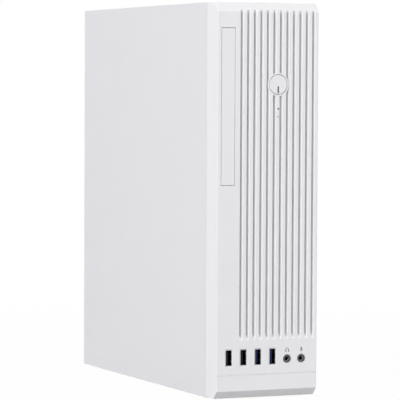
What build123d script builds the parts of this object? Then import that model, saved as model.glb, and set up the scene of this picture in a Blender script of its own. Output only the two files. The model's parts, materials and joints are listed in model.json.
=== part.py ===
from build123d import *
from math import tan, radians
import os

# Slim desktop computer tower, in millimetres.
# +Z is up, the front faces -Y and the removable side panel is on -X.
# The origin is under the middle of the whole part, on the surface it stands on.

# Sheet metal and general fits
steel = 0.8
slip = 0.3
running = 0.05
bend_radius = 1.2
flange_depth = 10.0

# Power supply, thin tower format
psu_height = 65.0
psu_length = 175.0
psu_fan_gap = 1.7
psu_left_gap = 2.2
psu_right_gap = 1.2

# Motherboard, small square format
board_height = 244.0
board_depth = 244.0
board_thickness = 1.6
standoff_height = 6.35
standoff_radius = 3.0
board_above_psu = 4.4
cover_above_psu = 0.4
board_below_top = 5.0
board_front_room = 24.4
board_rear_room = 1.4

# Feet
foot_height = 3.0
foot_radius = 7.0
foot_side_inset = 18.0
foot_front_inset = 42.0
foot_rear_inset = 24.0

# Front bezel
bezel_depth = 21.2
bezel_face = 5.0
bezel_wall = 2.5
bezel_edge_radius = 0.8
bezel_lift = 0.4
top_slope_height = 7.4
bottom_slope_height = 6.2
slope_depth = 5.7
line_height = 19.4
line_width = 0.7
line_depth = 0.4
hook_height = 8.0
hook_thickness = 1.6
hook_reach = 4.5
hook_barb = 0.8
hook_low = 70.0
hook_middle = 160.0
hook_top_inset = 12.0

# Vertical grooves in the bezel
groove_count = 12
groove_pitch = 5.82
groove_floor = 1.7
groove_wall_run = 0.3
groove_bevel = 1.0
groove_depth = 3.4
groove_right_margin = 2.9
groove_bottom = 47.8
groove_bottom_ramp = 7.0
groove_top_rise = 1.2
groove_top_ramp = 3.0

# Slim drive bay and its blank
bay_width = 12.4
bay_height = 126.8
bay_left_inset = 3.2
bay_top_inset = 20.6
blank_gap = 0.35
blank_recess = 0.3
blank_thickness = 2.4
blank_leg = 1.2
blank_leg_width = 6.0
blank_barb = 0.7

# Power button, its switch and the status lights
button_left_inset = 53.8
button_top_inset = 66.1
button_radius = 7.9
button_gap = 0.4
button_recess = 0.1
button_edge = 0.5
button_flange = 1.4
button_flange_thickness = 1.6
button_travel = 1.5
pad_rim = 1.05
guide_wall = 1.3
guide_depth = 6.0
stem_radius = 2.0
stem_length = 1.6
bar_width = 1.3
bar_length = 5.5
bar_depth = 1.5
bar_drop = 4.05
plunger_radius = 1.5
plunger_rise = 2.0
plunger_sink = 1.5
switch_side = 7.0
switch_height = 4.5
switch_board_thickness = 1.2
switch_board_width = 18.0
light_drop = 19.5
light_step = 6.4
light_pipe_radius = 0.75
light_rim = 0.55
lamp_side = 3.0
lamp_height = 2.5
post_radius = 2.5
post_gap = 1.5
small_screw_radius = 1.1
small_screw_head = 2.2
small_screw_head_height = 1.6
small_screw_depth = 5.0

# Front sockets
usb_count = 4
usb_first = 11.1
usb_pitch = 13.0
usb_level = 33.6
usb_mouth_width = 5.12
usb_mouth_height = 12.5
usb_shell = 0.3
usb_length = 14.6
usb_recess = 0.4
usb_back = 1.0
usb_play = 0.2
tongue_thickness = 1.84
tongue_side_gap = 0.7
tongue_offset = 0.75
tongue_inset = 1.2
tongue_root = 4.0
port_edge = 0.4
jack_from_usb = 13.1
jack_pitch = 12.8
jack_axis_height = 4.1
jack_bore_radius = 1.8
jack_bore_depth = 12.0
jack_nose_radius = 3.2
jack_body_gap = 0.8
jack_recess = 0.6
jack_body_width = 8.0
jack_body_height = 8.0
jack_body_length = 12.5
io_board_thickness = 1.6
io_board_margin = 5.0
io_board_front = 6.5
io_board_length = 38.5
io_bracket_thickness = 1.0
io_bracket_drop = 14.0

# Side panel and thumbscrews
panel_gap = 0.2
panel_flange = 14.0
panel_travel = 15.0
panel_return = 8.0
panel_return_start = 15.0
thumb_inset = 8.0
thumb_above_psu = 14.0
thumb_top_inset = 44.0
thumb_radius = 1.75
thumb_head_radius = 5.0
thumb_head_length = 6.0
thumb_reach = 6.0
thumb_knurls = 18
thumb_knurl_radius = 0.5
thumb_slot_width = 1.2
thumb_slot_depth = 1.5

# Rear openings
io_width = 44.45
io_height = 158.75
io_behind_board = 3.8
io_top_inset = 5.0
io_overlap = 2.0
shield_thickness = 0.5
slot_count = 4
slot_pitch = 20.32
slot_first_drop = 14.0
slot_opening_height = 12.5
cover_panel_gap = 1.0
slot_opening_right = 8.0
cover_gap = 1.92
cover_left_overlap = 9.0
cover_right_overlap = 4.0
cover_vent_count = 6
cover_vent_width = 3.0
cover_vent_height = 7.0
cover_screw_inset = 4.5
screw_radius = 1.5
screw_head_radius = 3.0
screw_head_height = 2.0
screw_length = 5.0
screw_edge = 0.6
cross_width = 0.8
cross_depth = 1.0
cross_share = 0.6
vent_radius = 2.2
vent_pitch = 6.0
vent_margin = 5.0

# Power supply details
psu_wall = 0.8
psu_window_side_gap = 2.3
psu_window_low_gap = 1.2
psu_window_high_gap = 2.7
psu_screw_inset = 4.0
screw_panel_gap = 1.0
psu_fan_back = 60.0
psu_grille_rings = 5
psu_grille_wire = 2.0
inlet_mouth_width = 24.2
inlet_mouth_height = 16.4
inlet_wall = 2.0
inlet_flange = 1.6
inlet_flange_thickness = 2.2
inlet_depth = 17.0
inlet_pin_pitch = 7.0
inlet_pin_offset = 2.0
inlet_pin_width = 2.0
inlet_pin_height = 4.0
inlet_pin_inset = 2.0
inlet_right_inset = 26.0
inlet_level = 21.0
rocker_inlet_gap = 2.9
rocker_length = 17.0
rocker_height = 11.0
rocker_frame_wall = 2.0
rocker_frame_flange = 1.8
rocker_frame_depth = 11.0
rocker_gap = 0.5
rocker_pin_radius = 1.0
rocker_tilt = 8.0
rocker_crown = 2.2
rocker_pivot_depth = 4.0
psu_vent_rows = 5
psu_vent_width = 18.0
psu_vent_height = 3.0
psu_board_height = 6.0
psu_board_thickness = 1.6
psu_board_inset = 6.0
psu_part_height = 30.0
transformer_width = 26.0
transformer_length = 32.0
transformer_front = 48.0
heat_plate_thickness = 1.6
heat_plate_length = 70.0
heat_plate_front = 28.0
capacitor_radius = 6.0
capacitor_count = 2
capacitor_front = 112.0
capacitor_step = 16.0

# Cooling fans
fan_side = 80.0
fan_depth = 15.0
fan_frame_wall = 2.0
fan_tip_gap = 0.8
fan_hub_radius = 14.0
fan_motor_radius = 12.0
fan_plate = 2.0
fan_strut_width = 4.0
fan_strut_count = 4
fan_blade_count = 7
fan_blade_thickness = 1.4
fan_blade_tilt = 38.0
fan_shaft_radius = 1.5
fan_hole_inset = 4.3
fan_hole_radius = 2.1

# Motherboard fittings, measured from its edges
board_hole_rear = 45.0
board_hole_front = 10.0
board_hole_low = 8.0
board_hole_middle = 120.0
board_hole_high = 8.0
board_hole_radius = 1.9
processor_back = 78.0
socket_side = 42.0
socket_height = 4.0
sink_side = 80.0
sink_base = 4.0
fin_height = 22.0
fin_thickness = 1.4
fin_count = 16
memory_count = 2
memory_back = 150.0
memory_step = 10.0
memory_top_inset = 18.0
memory_socket_end = 1.325
memory_socket_width = 6.5
memory_socket_height = 8.0
memory_groove = 1.9
memory_groove_depth = 5.5
module_length = 133.35
module_height = 31.25
module_thickness = 1.4
chip_thickness = 1.1
chip_count = 8
chip_length = 10.0
chip_height = 12.0
chip_lift = 13.0
latch_width = 4.0
latch_height = 22.0
latch_thickness = 4.2
latch_gap = 1.3
latch_pivot_height = 4.0
latch_foot = 1.8
latch_pin_radius = 0.9
latch_ear_length = 6.0
slot_socket_gap = 1.0
long_socket_length = 89.0
short_socket_length = 25.0
slot_socket_width = 7.5
slot_socket_height = 11.0
slot_socket_groove = 2.0
slot_socket_groove_depth = 8.0
chipset_front = 54.0
chipset_level = 45.0
chipset_side = 34.0
chipset_base = 3.0
chipset_fin_height = 8.0
chipset_fin_count = 6
main_plug_level = 171.0
main_plug_length = 51.6
main_plug_width = 9.6
plug_height = 13.0
main_plug_front = 16.0
processor_plug_back = 70.0
processor_plug_drop = 9.0
processor_plug_length = 20.0
data_plug_level = 64.0
data_plug_step = 16.0
data_plug_width = 7.0
data_plug_height = 9.0
data_plug_front = 6.0
header_width = 8.0
header_length = 20.0
front_header_front = 49.0
front_header_level = 12.0
switch_header_front = 4.0
switch_header_level = 20.0
coil_side = 7.0
coil_pitch = 10.0
coil_count = 6
coil_first_back = 52.0
plug_coil_gap = 6.7
coil_sink_gap = 6.5

# Rear sockets, from the top of the rear port opening down and from its lower edge up
rear_protrusion = 0.5
rear_usb_drop = 22.0
rear_usb_pitch = 20.0
rear_usb_step = 0.6
network_gap = 9.45
network_width = 16.0
network_height = 13.5
network_length = 21.0
network_mouth_width = 11.8
network_mouth_height = 8.5
network_mouth_depth = 13.0
video_gap = 10.5
video_width = 15.0
video_height = 6.0
video_wall = 0.5
video_length = 12.0
video_back = 2.0
video_tongue_width = 10.6
video_tongue_thickness = 1.0
video_tongue_length = 8.0
audio_rise = 20.75
audio_count = 3
audio_step = 11.5
audio_width = 12.0
audio_length = 14.0
audio_nose_radius = 3.6
audio_nose_length = 1.0

# Drive cage and drive
cage_gap = 0.6
cage_depth = 96.0
cage_lip = 12.0
drive_width = 69.85
drive_length = 100.0
drive_thickness = 7.0
drive_gap = 3.0
drive_front_gap = 6.0
drive_above_psu = 2.0
drive_edge = 1.0

# Cables inside the case
main_cable_radius = 5.0
processor_cable_radius = 3.0
drive_cable_radius = 2.5
data_cable_radius = 2.0
front_cable_radius = 2.5
switch_cable_radius = 1.5
main_cable_x = -5.0
processor_cable_x = -18.0
front_cable_x = 12.0
data_cable_x = 2.0
main_cable_level = 35.0
processor_cable_level = 50.0
drive_cable_level = 41.0
processor_cable_front = 26.0
data_cable_drop = 21.0
drive_plug_inset = 45.0
switch_cable_back = 15.0

# Places worked out from the sizes above
psu_width = fan_side + 2 * (psu_fan_gap + psu_wall)
body_width = psu_left_gap + psu_width + psu_right_gap + 2 * steel
cover_height = slot_pitch - cover_gap
slot_stack = slot_first_drop + (slot_count - 1) * slot_pitch + cover_height / 2
cover_overhang = io_top_inset + io_height + slot_stack - board_height
board_lift = max(board_above_psu, cover_overhang + cover_above_psu)
board_stack = board_lift + board_height + board_below_top
drive_stack = drive_above_psu + drive_length + drive_gap + cage_gap + bay_height + bay_top_inset
body_height = psu_height + max(board_stack, drive_stack) + 2 * steel
chassis_depth = board_front_room + board_depth + board_rear_room + 2 * steel
overall_depth = bezel_depth + chassis_depth + panel_gap + steel + thumb_head_length
left = -body_width / 2
right = body_width / 2
base = foot_height
top = base + body_height
front = -overall_depth / 2
seam = front + bezel_depth
rear_out = seam + chassis_depth
rear_in = rear_out - steel
panel_rear_in = rear_out + panel_gap
panel_rear_out = panel_rear_in + steel
inner_left = left + steel
inner_right = right - steel
wall_left = inner_left + slip
wall_front = seam + steel
floor = base + steel
ceiling = top - steel
psu_left = inner_left + psu_left_gap
psu_right = psu_left + psu_width
psu_front = rear_in - psu_length
psu_top = floor + psu_height
board_back = inner_right - standoff_height
board_face = board_back - board_thickness
board_front = wall_front + board_front_room
board_rear = board_front + board_depth
board_bottom = psu_top + board_lift
board_top = board_bottom + board_height
bay_left = left + bay_left_inset
bay_right = bay_left + bay_width
bay_top = top - bay_top_inset
bay_bottom = bay_top - bay_height
button_x = left + button_left_inset
button_z = top - button_top_inset
pad_radius = button_radius + button_gap + pad_rim
groove_width = groove_floor + groove_wall_run + groove_bevel
button_back = front + bezel_face + slip + button_flange_thickness
light_levels = [button_z - light_drop - i * light_step for i in range(2)]
switch_board_front = button_back + stem_length + plunger_rise + switch_height
usb_width = usb_mouth_width + 2 * usb_shell
usb_height = usb_mouth_height + 2 * usb_shell
usb_xs = [left + usb_first + i * usb_pitch for i in range(usb_count)]
usb_z = base + usb_level
tongue_height = usb_mouth_height - 2 * tongue_side_gap
tongue_length = usb_length - usb_back - tongue_root - tongue_inset
jack_xs = [usb_xs[-1] + jack_from_usb + i * jack_pitch for i in range(2)]
jack_nose_length = bezel_face + jack_body_gap - jack_recess
io_board_top = usb_z - usb_height / 2
io_board_bottom = io_board_top - io_board_thickness
io_board_left = usb_xs[0] - io_board_margin
io_board_right = jack_xs[-1] + io_board_margin
io_board_rear = front + io_board_front + io_board_length
jack_z = io_board_top + jack_axis_height
thumb_x = left + thumb_inset
thumb_zs = (psu_top + thumb_above_psu, top - thumb_top_inset)
io_right = board_face + io_behind_board
io_left = io_right - io_width
io_top = board_top - io_top_inset
io_bottom = io_top - io_height
slot_left = left + panel_flange + cover_panel_gap + cover_left_overlap
slot_socket_back = board_hole_rear + screw_head_radius + slot_socket_gap
slot_right = inner_right - slot_opening_right
slot_zs = [io_bottom - slot_first_drop - i * slot_pitch for i in range(slot_count)]
cover_left = slot_left - cover_left_overlap
cover_screw_x = cover_left + cover_screw_inset
psu_screw_left = left + panel_flange + screw_panel_gap + screw_head_radius
psu_screw_xs = (psu_screw_left, psu_right - psu_screw_inset)
psu_screw_zs = (floor + psu_screw_inset, psu_top - psu_screw_inset)
inlet_x = psu_right - inlet_right_inset
inlet_z = floor + inlet_level
inlet_half_width = inlet_mouth_width / 2 + inlet_wall
inlet_half_height = inlet_mouth_height / 2 + inlet_wall
rocker_half_length = rocker_length / 2 + rocker_frame_wall
rocker_half_height = rocker_height / 2 + rocker_frame_wall
inlet_top = inlet_z + inlet_half_height + inlet_flange
rocker_z = inlet_top + rocker_inlet_gap + rocker_frame_flange + rocker_half_height
psu_window_x0 = psu_screw_left + psu_screw_inset
psu_window_x1 = inlet_x + inlet_half_width + inlet_flange + psu_window_side_gap
psu_window_z0 = inlet_z - inlet_half_height - inlet_flange - psu_window_low_gap
psu_window_z1 = rocker_z + rocker_half_height + rocker_frame_flange + psu_window_high_gap
rocker_pivot_y = rear_in + inlet_flange_thickness - rocker_pivot_depth
psu_fan_y = psu_front + psu_fan_back
processor_y = board_rear - processor_back
processor_plug_level = board_height - processor_plug_drop
coil_level = processor_plug_level - main_plug_width / 2 - plug_coil_gap - coil_side / 2
processor_level = coil_level - coil_side / 2 - coil_sink_gap - sink_side / 2
processor_z = board_bottom + processor_level
fan_bore_radius = fan_side / 2 - fan_frame_wall
sink_face = board_face - socket_height - sink_base
fin_tip = sink_face - fin_height
memory_ys = [board_rear - memory_back - i * memory_step for i in range(memory_count)]
memory_top = board_top - memory_top_inset
memory_bottom = memory_top - module_length - 2 * memory_socket_end
latch_pivot_z = memory_top + latch_gap + latch_thickness / 2
latch_pivot_x = board_face - latch_pivot_height
rear_usb_zs = [io_top - rear_usb_drop - i * rear_usb_pitch for i in range(2)]
network_z = rear_usb_zs[-1] - usb_height / 2 - network_gap - network_width / 2
video_z = network_z - network_width / 2 - video_gap - video_width / 2
audio_z = io_bottom + audio_rise
cage_left = bay_right + cage_gap
cage_right = cage_left + steel
shelf_top = bay_bottom - cage_gap
drive_right = cage_left
drive_left = drive_right - drive_thickness
drive_front = wall_front + drive_front_gap
drive_top = shelf_top - steel - drive_gap
drive_bottom = drive_top - drive_length


def block(x0, x1, y0, y1, z0, z1):
    """Box between two corners."""
    middle = Pos((x0 + x1) / 2, (y0 + y1) / 2, (z0 + z1) / 2)
    return middle * Box(x1 - x0, y1 - y0, z1 - z0)


def rod_x(x0, x1, y, z, radius):
    """Cylinder along X."""
    return Pos((x0 + x1) / 2, y, z) * Rot(0, 90, 0) * Cylinder(radius, x1 - x0)


def rod_y(x, y0, y1, z, radius):
    """Cylinder along Y."""
    return Pos(x, (y0 + y1) / 2, z) * Rot(90, 0, 0) * Cylinder(radius, y1 - y0)


def rod_z(x, y, z0, z1, radius):
    """Cylinder along Z."""
    return Pos(x, y, (z0 + z1) / 2) * Cylinder(radius, z1 - z0)


def side_prism(points, x0, x1):
    """Prism across X on an outline of (y, z) points."""
    outline = Polyline([(x0, y, z) for y, z in points], close=True)
    return extrude(make_face(outline), amount=x1 - x0, dir=(1, 0, 0))


def upright_prism(points, z0, z1):
    """Prism along Z on an outline of (x, y) points."""
    outline = Polyline([(x, y, z0) for x, y in points], close=True)
    return extrude(make_face(outline), amount=z1 - z0, dir=(0, 0, 1))


def join(shapes):
    """One solid from overlapping or touching shapes."""
    first, *rest = shapes
    return first.fuse(*rest) if rest else first


def cut(shape, tools):
    """The shape with every tool taken out of it."""
    return shape.cut(*tools)


def tube(points, radius, corner):
    """Round cable along straight runs joined by tangent arcs."""
    path = FilletPolyline(points, radius=corner)
    return sweep(Plane(origin=path @ 0, z_dir=path % 0) * Circle(radius), path=path)


# Case shell, walls and feet
def case_shell():
    outer = block(left, right, seam, rear_out, base, top)
    outer = fillet(outer.edges().filter_by(Axis.Y).group_by(Axis.X)[-1], bend_radius)
    hollow = block(left, inner_right, seam, rear_out, floor, ceiling)
    panel_room = block(left, wall_left, seam, rear_out, base, top)
    return cut(outer, [hollow, panel_room])


def front_wall():
    plate = block(wall_left, inner_right, seam, wall_front, floor, ceiling)
    rear = wall_front + flange_depth
    flanges = [
        block(inner_right - steel, inner_right, wall_front, rear, floor, ceiling),
        block(wall_left, inner_right, wall_front, rear, ceiling - steel, ceiling),
        block(wall_left, inner_right, wall_front, rear, floor, floor + steel),
    ]
    bay = block(bay_left - slip, bay_right + slip, seam, wall_front, bay_bottom, bay_top)
    ports = block(io_board_left - slip, io_board_right + slip, seam, wall_front,
                  io_board_bottom - slip, usb_z + usb_height / 2)
    cable_hole = rod_y(button_x, seam, wall_front, light_levels[-1], 4 * switch_cable_radius)
    slots = [hook_slot(side, z) for side in (-1, 1) for z in hook_zs()]
    return cut(join([plate, *flanges]), [bay, ports, cable_hole, *slots])


def rear_wall():
    plate = block(wall_left, inner_right, rear_in, rear_out, floor, ceiling)
    front_edge = rear_in - flange_depth
    flanges = [
        block(inner_right - steel, inner_right, front_edge, rear_in, floor, ceiling),
        block(wall_left, inner_right, front_edge, rear_in, ceiling - steel, ceiling),
    ]
    openings = [
        block(io_left, io_right, rear_in, rear_out, io_bottom, io_top),
        block(psu_window_x0, psu_window_x1, rear_in, rear_out, psu_window_z0, psu_window_z1),
    ]
    half = slot_opening_height / 2
    openings += [block(slot_left, slot_right, rear_in, rear_out, z - half, z + half) for z in slot_zs]
    holes = [rod_y(thumb_x, rear_in, rear_out, z, thumb_radius + slip) for z in thumb_zs]
    holes += [rod_y(cover_screw_x, rear_in, rear_out, z, screw_radius + running) for z in slot_zs]
    holes += [rod_y(x, rear_in, rear_out, z, screw_radius + running)
              for x in psu_screw_xs for z in psu_screw_zs]
    return cut(join([plate, *flanges]), openings + holes + rear_vents())


def rear_vents():
    """Round holes beside the rear ports, in staggered rows."""
    x0 = left + panel_flange + vent_margin
    x1 = io_left - vent_margin
    row_step = vent_pitch * tan(radians(60)) / 2
    rows = int((io_height - 2 * vent_margin) / row_step) + 1
    columns = int((x1 - x0) / vent_pitch)
    holes = []
    for row in range(rows):
        shift = vent_pitch / 2 * (row % 2)
        z = io_bottom + vent_margin + row * row_step
        for column in range(columns):
            holes.append(rod_y(x0 + shift + column * vent_pitch, rear_in, rear_out, z, vent_radius))
    return holes


def rubber_feet():
    xs = (left + foot_side_inset, right - foot_side_inset)
    ys = (front + foot_front_inset, rear_out - foot_rear_inset)
    feet = [rod_z(x, y, 0, foot_height, foot_radius) for x in xs for y in ys]
    return Compound([chamfer(foot.edges().group_by(Axis.Z)[0], foot_height / 4) for foot in feet])


# Side panel and its thumbscrews
def side_panel():
    outer = block(left, left + panel_flange, seam + slip, panel_rear_out, base, top)
    corner = outer.edges().filter_by(Axis.Z).group_by(Axis.X)[0].sort_by(Axis.Y)[-1]
    outer = fillet(corner, bend_radius)
    inside = block(inner_left, left + panel_flange, seam, panel_rear_in, base, top)
    start = seam + panel_return_start
    reach = inner_left + panel_return
    upper_end = rear_in - flange_depth - panel_travel - slip
    lower_end = psu_front - panel_travel - slip
    upper = block(inner_left, reach, start, upper_end, ceiling - slip - steel, ceiling - slip)
    lower = block(inner_left, reach, start, lower_end, floor + slip, floor + slip + steel)
    holes = [rod_y(thumb_x, panel_rear_in, panel_rear_out, z, thumb_radius + slip) for z in thumb_zs]
    return cut(join([cut(outer, [inside]), upper, lower]), holes)


def thumbscrew(z):
    tip = panel_rear_out + thumb_head_length
    head = rod_y(thumb_x, panel_rear_out, tip, z, thumb_head_radius)
    head = chamfer(head.edges().group_by(Axis.Y)[-1], thumb_knurl_radius)
    shank = rod_y(thumb_x, rear_in - thumb_reach, panel_rear_out, z, thumb_radius)
    ring = PolarLocations(thumb_head_radius, thumb_knurls)
    knurl = Cylinder(thumb_knurl_radius, thumb_head_length)
    at_head = Pos(thumb_x, panel_rear_out + thumb_head_length / 2, z) * Rot(90, 0, 0)
    grooves = [at_head * place * knurl for place in ring]
    slot = block(thumb_x - thumb_head_radius, thumb_x + thumb_head_radius, tip - thumb_slot_depth, tip,
                 z - thumb_slot_width / 2, z + thumb_slot_width / 2)
    return cut(join([head, shank]), [*grooves, slot])


# Front bezel
def hook_zs():
    return base + hook_low, base + hook_middle, top - hook_top_inset


def hook_edge(side):
    """Inner and outer x of a snap hook on one side of the bezel."""
    wall = side * (body_width / 2 - bezel_wall)
    return wall, wall - side * hook_thickness


def hook(side, z):
    outer, inner = hook_edge(side)
    half = hook_height / 2
    xs = sorted((outer, inner))
    tongue = block(*xs, seam - hook_height, seam + hook_reach, z - half, z + half)
    xs = sorted((inner, inner - side * hook_barb))
    barb = block(*xs, wall_front + running, seam + hook_reach, z - half, z + half)
    return join([tongue, barb])


def hook_slot(side, z):
    outer, inner = hook_edge(side)
    half = hook_height / 2 + slip
    xs = sorted((outer + side * slip, inner - side * slip))
    return block(*xs, seam, wall_front, z - half, z + half)


def bezel_outline(inset):
    """Side view of the bezel, drawn in by its walls for the hollow behind the face."""
    face = front + (bezel_face if inset else 0)
    low = base + bezel_lift + inset
    high = top - inset
    return [
        (face, low + bottom_slope_height),
        (face, high - top_slope_height),
        (face + slope_depth, high),
        (seam, high),
        (seam, low),
        (face + slope_depth, low),
    ]


def groove_cutters():
    """Grooves with an upright left side, a narrow floor and a bevelled right side."""
    first = right - groove_right_margin - groove_width - (groove_count - 1) * groove_pitch
    lowest = base + groove_bottom
    shoulder = top - top_slope_height
    run_out = groove_top_rise * slope_depth / top_slope_height
    depth_profile = [
        (front, lowest),
        (front + groove_depth, lowest + groove_bottom_ramp),
        (front + groove_depth, shoulder - groove_top_ramp),
        (front + run_out, shoulder + groove_top_rise),
        (front, shoulder + groove_top_rise),
    ]
    last = first + (groove_count - 1) * groove_pitch + groove_width
    envelope = side_prism(depth_profile, first, last)
    pad = rod_y(button_x, front, front + bezel_face, button_z, pad_radius)
    lights = [rod_y(button_x, front, front + bezel_face, z, light_pipe_radius + light_rim)
              for z in light_levels]
    envelope = cut(envelope, [pad, *lights])
    cutters = []
    for i in range(groove_count):
        x = first + i * groove_pitch
        section = [
            (x, front),
            (x, front + groove_depth),
            (x + groove_floor, front + groove_depth),
            (x + groove_floor + groove_wall_run, front + groove_bevel),
            (x + groove_width, front),
        ]
        groove = upright_prism(section, lowest, shoulder + groove_top_rise)
        cutters += (groove & envelope).solids()
    return cutters


def switch_post_zs():
    upper = button_z + button_radius + button_flange + button_gap + guide_wall + post_gap + post_radius
    return upper, light_levels[-1] - lamp_side / 2 - post_gap - post_radius


def flared_edge(x, z, hole):
    """Cutter that breaks the edge of a hole in the bezel face at 45 degrees."""
    inner_end = Plane(origin=(x, front + port_edge, z), x_dir=(1, 0, 0), z_dir=(0, -1, 0))
    return extrude(inner_end * hole, amount=port_edge, taper=-45)


def front_bezel():
    outer = side_prism(bezel_outline(0), left, right)
    edges = [edge for edge in outer.edges() if edge.center().Y < seam - slip]
    outer = fillet(edges, bezel_edge_radius)
    inner_side = body_width / 2 - bezel_wall
    shell = cut(outer, [side_prism(bezel_outline(bezel_wall), -inner_side, inner_side)])
    face_back = front + bezel_face
    guide_radius = button_radius + button_flange + button_gap
    guide = rod_y(button_x, face_back, face_back + guide_depth, button_z, guide_radius + guide_wall)
    guide -= rod_y(button_x, face_back, face_back + guide_depth, button_z, guide_radius)
    posts = [rod_y(button_x, face_back, switch_board_front, z, post_radius) for z in switch_post_zs()]
    hooks = [hook(side, z) for side in (-1, 1) for z in hook_zs()]
    shell = join([shell, guide, *posts, *hooks])
    bay = block(bay_left, bay_right, front, face_back, bay_bottom, bay_top)
    button_hole = rod_y(button_x, front, face_back, button_z, button_radius + button_gap)
    light_holes = [rod_y(button_x, front, face_back, z, light_pipe_radius + running) for z in light_levels]
    screw_holes = [rod_y(button_x, switch_board_front - small_screw_depth, switch_board_front, z,
                         small_screw_radius + running) for z in switch_post_zs()]
    half_w = usb_width / 2 + usb_play
    half_h = usb_height / 2 + usb_play
    usb_holes = [block(x - half_w, x + half_w, front, face_back, usb_z - half_h, usb_z + half_h)
                 for x in usb_xs]
    usb_holes += [flared_edge(x, usb_z, Rectangle(2 * half_w, 2 * half_h)) for x in usb_xs]
    jack_hole_radius = jack_nose_radius + usb_play
    jack_holes = [rod_y(x, front, face_back, jack_z, jack_hole_radius) for x in jack_xs]
    jack_holes += [flared_edge(x, jack_z, Circle(jack_hole_radius)) for x in jack_xs]
    line_z = base + line_height
    line = block(left, right, front, front + line_depth, line_z - line_width / 2, line_z + line_width / 2)
    holes = [bay, button_hole, *light_holes, *screw_holes, *usb_holes, *jack_holes, line]
    return cut(shell, holes + groove_cutters())


def drive_bay_blank():
    face = front + blank_recess
    back = face + blank_thickness
    x0 = bay_left + blank_gap
    x1 = bay_right - blank_gap
    z0 = bay_bottom + blank_gap
    z1 = bay_top - blank_gap
    plate = block(x0, x1, face, back, z0, z1)
    middle = (x0 + x1) / 2
    half = blank_leg_width / 2
    leg_end = front + bezel_face + 3 * blank_barb
    barb_start = front + bezel_face + running
    legs = []
    for outer, inward in ((z0, 1), (z1, -1)):
        span = sorted((outer, outer + inward * blank_leg))
        legs.append(block(middle - half, middle + half, back, leg_end, *span))
        span = sorted((outer - inward * blank_barb, outer))
        legs.append(block(middle - half, middle + half, barb_start, leg_end, *span))
    return join([plate, *legs])


# Power button, switch and status lights
def light_bar_block():
    z = button_z - bar_drop
    face = front + button_recess
    return block(button_x - bar_width / 2, button_x + bar_width / 2, face, face + bar_depth,
                 z - bar_length / 2, z + bar_length / 2)


def power_button():
    face = front + button_recess
    cap = rod_y(button_x, face, button_back, button_z, button_radius)
    cap = fillet(cap.edges().group_by(Axis.Y)[0], button_edge)
    flange = rod_y(button_x, front + bezel_face + slip, button_back, button_z,
                   button_radius + button_flange)
    stem = rod_y(button_x, button_back, switch_board_front - switch_height - plunger_rise, button_z,
                 stem_radius)
    return cut(join([cap, flange, stem]), [light_bar_block()])


def switch_plunger():
    face = switch_board_front - switch_height
    return rod_y(button_x, face - plunger_rise, face + plunger_sink, button_z, plunger_radius)


def power_switch():
    half = switch_side / 2
    face = switch_board_front - switch_height
    body = block(button_x - half, button_x + half, face, switch_board_front,
                 button_z - half, button_z + half)
    depth = plunger_sink + button_travel + slip
    return cut(body, [rod_y(button_x, face, face + depth, button_z, plunger_radius + slip)])


def switch_board():
    upper, lower = switch_post_zs()
    half = switch_board_width / 2
    back = switch_board_front + switch_board_thickness
    board = block(button_x - half, button_x + half, switch_board_front, back,
                  lower - post_radius, upper + post_radius)
    side = lamp_side / 2
    lamps = [block(button_x - side, button_x + side, switch_board_front - lamp_height, switch_board_front,
                   z - side, z + side) for z in light_levels]
    holes = [rod_y(button_x, switch_board_front, back, z, small_screw_radius + running)
             for z in switch_post_zs()]
    return cut(join([board, *lamps]), holes)


def switch_board_screws():
    seat = switch_board_front + switch_board_thickness
    length = switch_board_thickness + small_screw_depth - slip
    screw = cross_screw(small_screw_head, small_screw_head_height, small_screw_radius, length)
    return Compound([Pos(button_x, seat, z) * Rot(-90, 0, 0) * screw for z in switch_post_zs()])


def status_light_pipes():
    end = switch_board_front - lamp_height
    return Compound([rod_y(button_x, front, end, z, light_pipe_radius) for z in light_levels])


# Front sockets and their board
def usb_shell_along_y(x, z, mouth, inward):
    """Upright socket shell whose mouth is at y = mouth and whose depth runs inward (+1 or -1)."""
    ys = sorted((mouth, mouth + inward * usb_length))
    shell = block(x - usb_width / 2, x + usb_width / 2, *ys, z - usb_height / 2, z + usb_height / 2)
    ys = sorted((mouth, mouth + inward * (usb_length - usb_back)))
    hollow = block(x - usb_mouth_width / 2, x + usb_mouth_width / 2, *ys,
                   z - usb_mouth_height / 2, z + usb_mouth_height / 2)
    return cut(shell, [hollow])


def usb_tongue_along_y(x, z, mouth, inward, side):
    """Contact tongue on a root that fills the back of the shell, nearer to one side of the mouth."""
    root_back = mouth + inward * (usb_length - usb_back)
    root_front = root_back - inward * tongue_root
    root = block(x - usb_mouth_width / 2, x + usb_mouth_width / 2, *sorted((root_front, root_back)),
                 z - usb_mouth_height / 2, z + usb_mouth_height / 2)
    near = x + side * (usb_mouth_width / 2 - tongue_offset)
    xs = sorted((near, near - side * tongue_thickness))
    ys = sorted((root_front - inward * tongue_length, root_front))
    tongue = block(*xs, *ys, z - tongue_height / 2, z + tongue_height / 2)
    return join([root, tongue])


def front_usb_sockets():
    return Compound([usb_shell_along_y(x, usb_z, front + usb_recess, 1) for x in usb_xs])


def front_usb_tongues(xs):
    return Compound([usb_tongue_along_y(x, usb_z, front + usb_recess, 1, -1) for x in xs])


def front_jack(x):
    nose_front = front + jack_recess
    body_front = nose_front + jack_nose_length
    nose = rod_y(x, nose_front, body_front, jack_z, jack_nose_radius)
    half = jack_body_width / 2
    body = block(x - half, x + half, body_front, body_front + jack_body_length,
                 io_board_top, io_board_top + jack_body_height)
    bore = rod_y(x, nose_front, nose_front + jack_bore_depth, jack_z, jack_bore_radius)
    return cut(join([nose, body]), [bore])


def front_io_board():
    return block(io_board_left, io_board_right, front + io_board_front, io_board_rear,
                 io_board_bottom, io_board_top)


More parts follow.
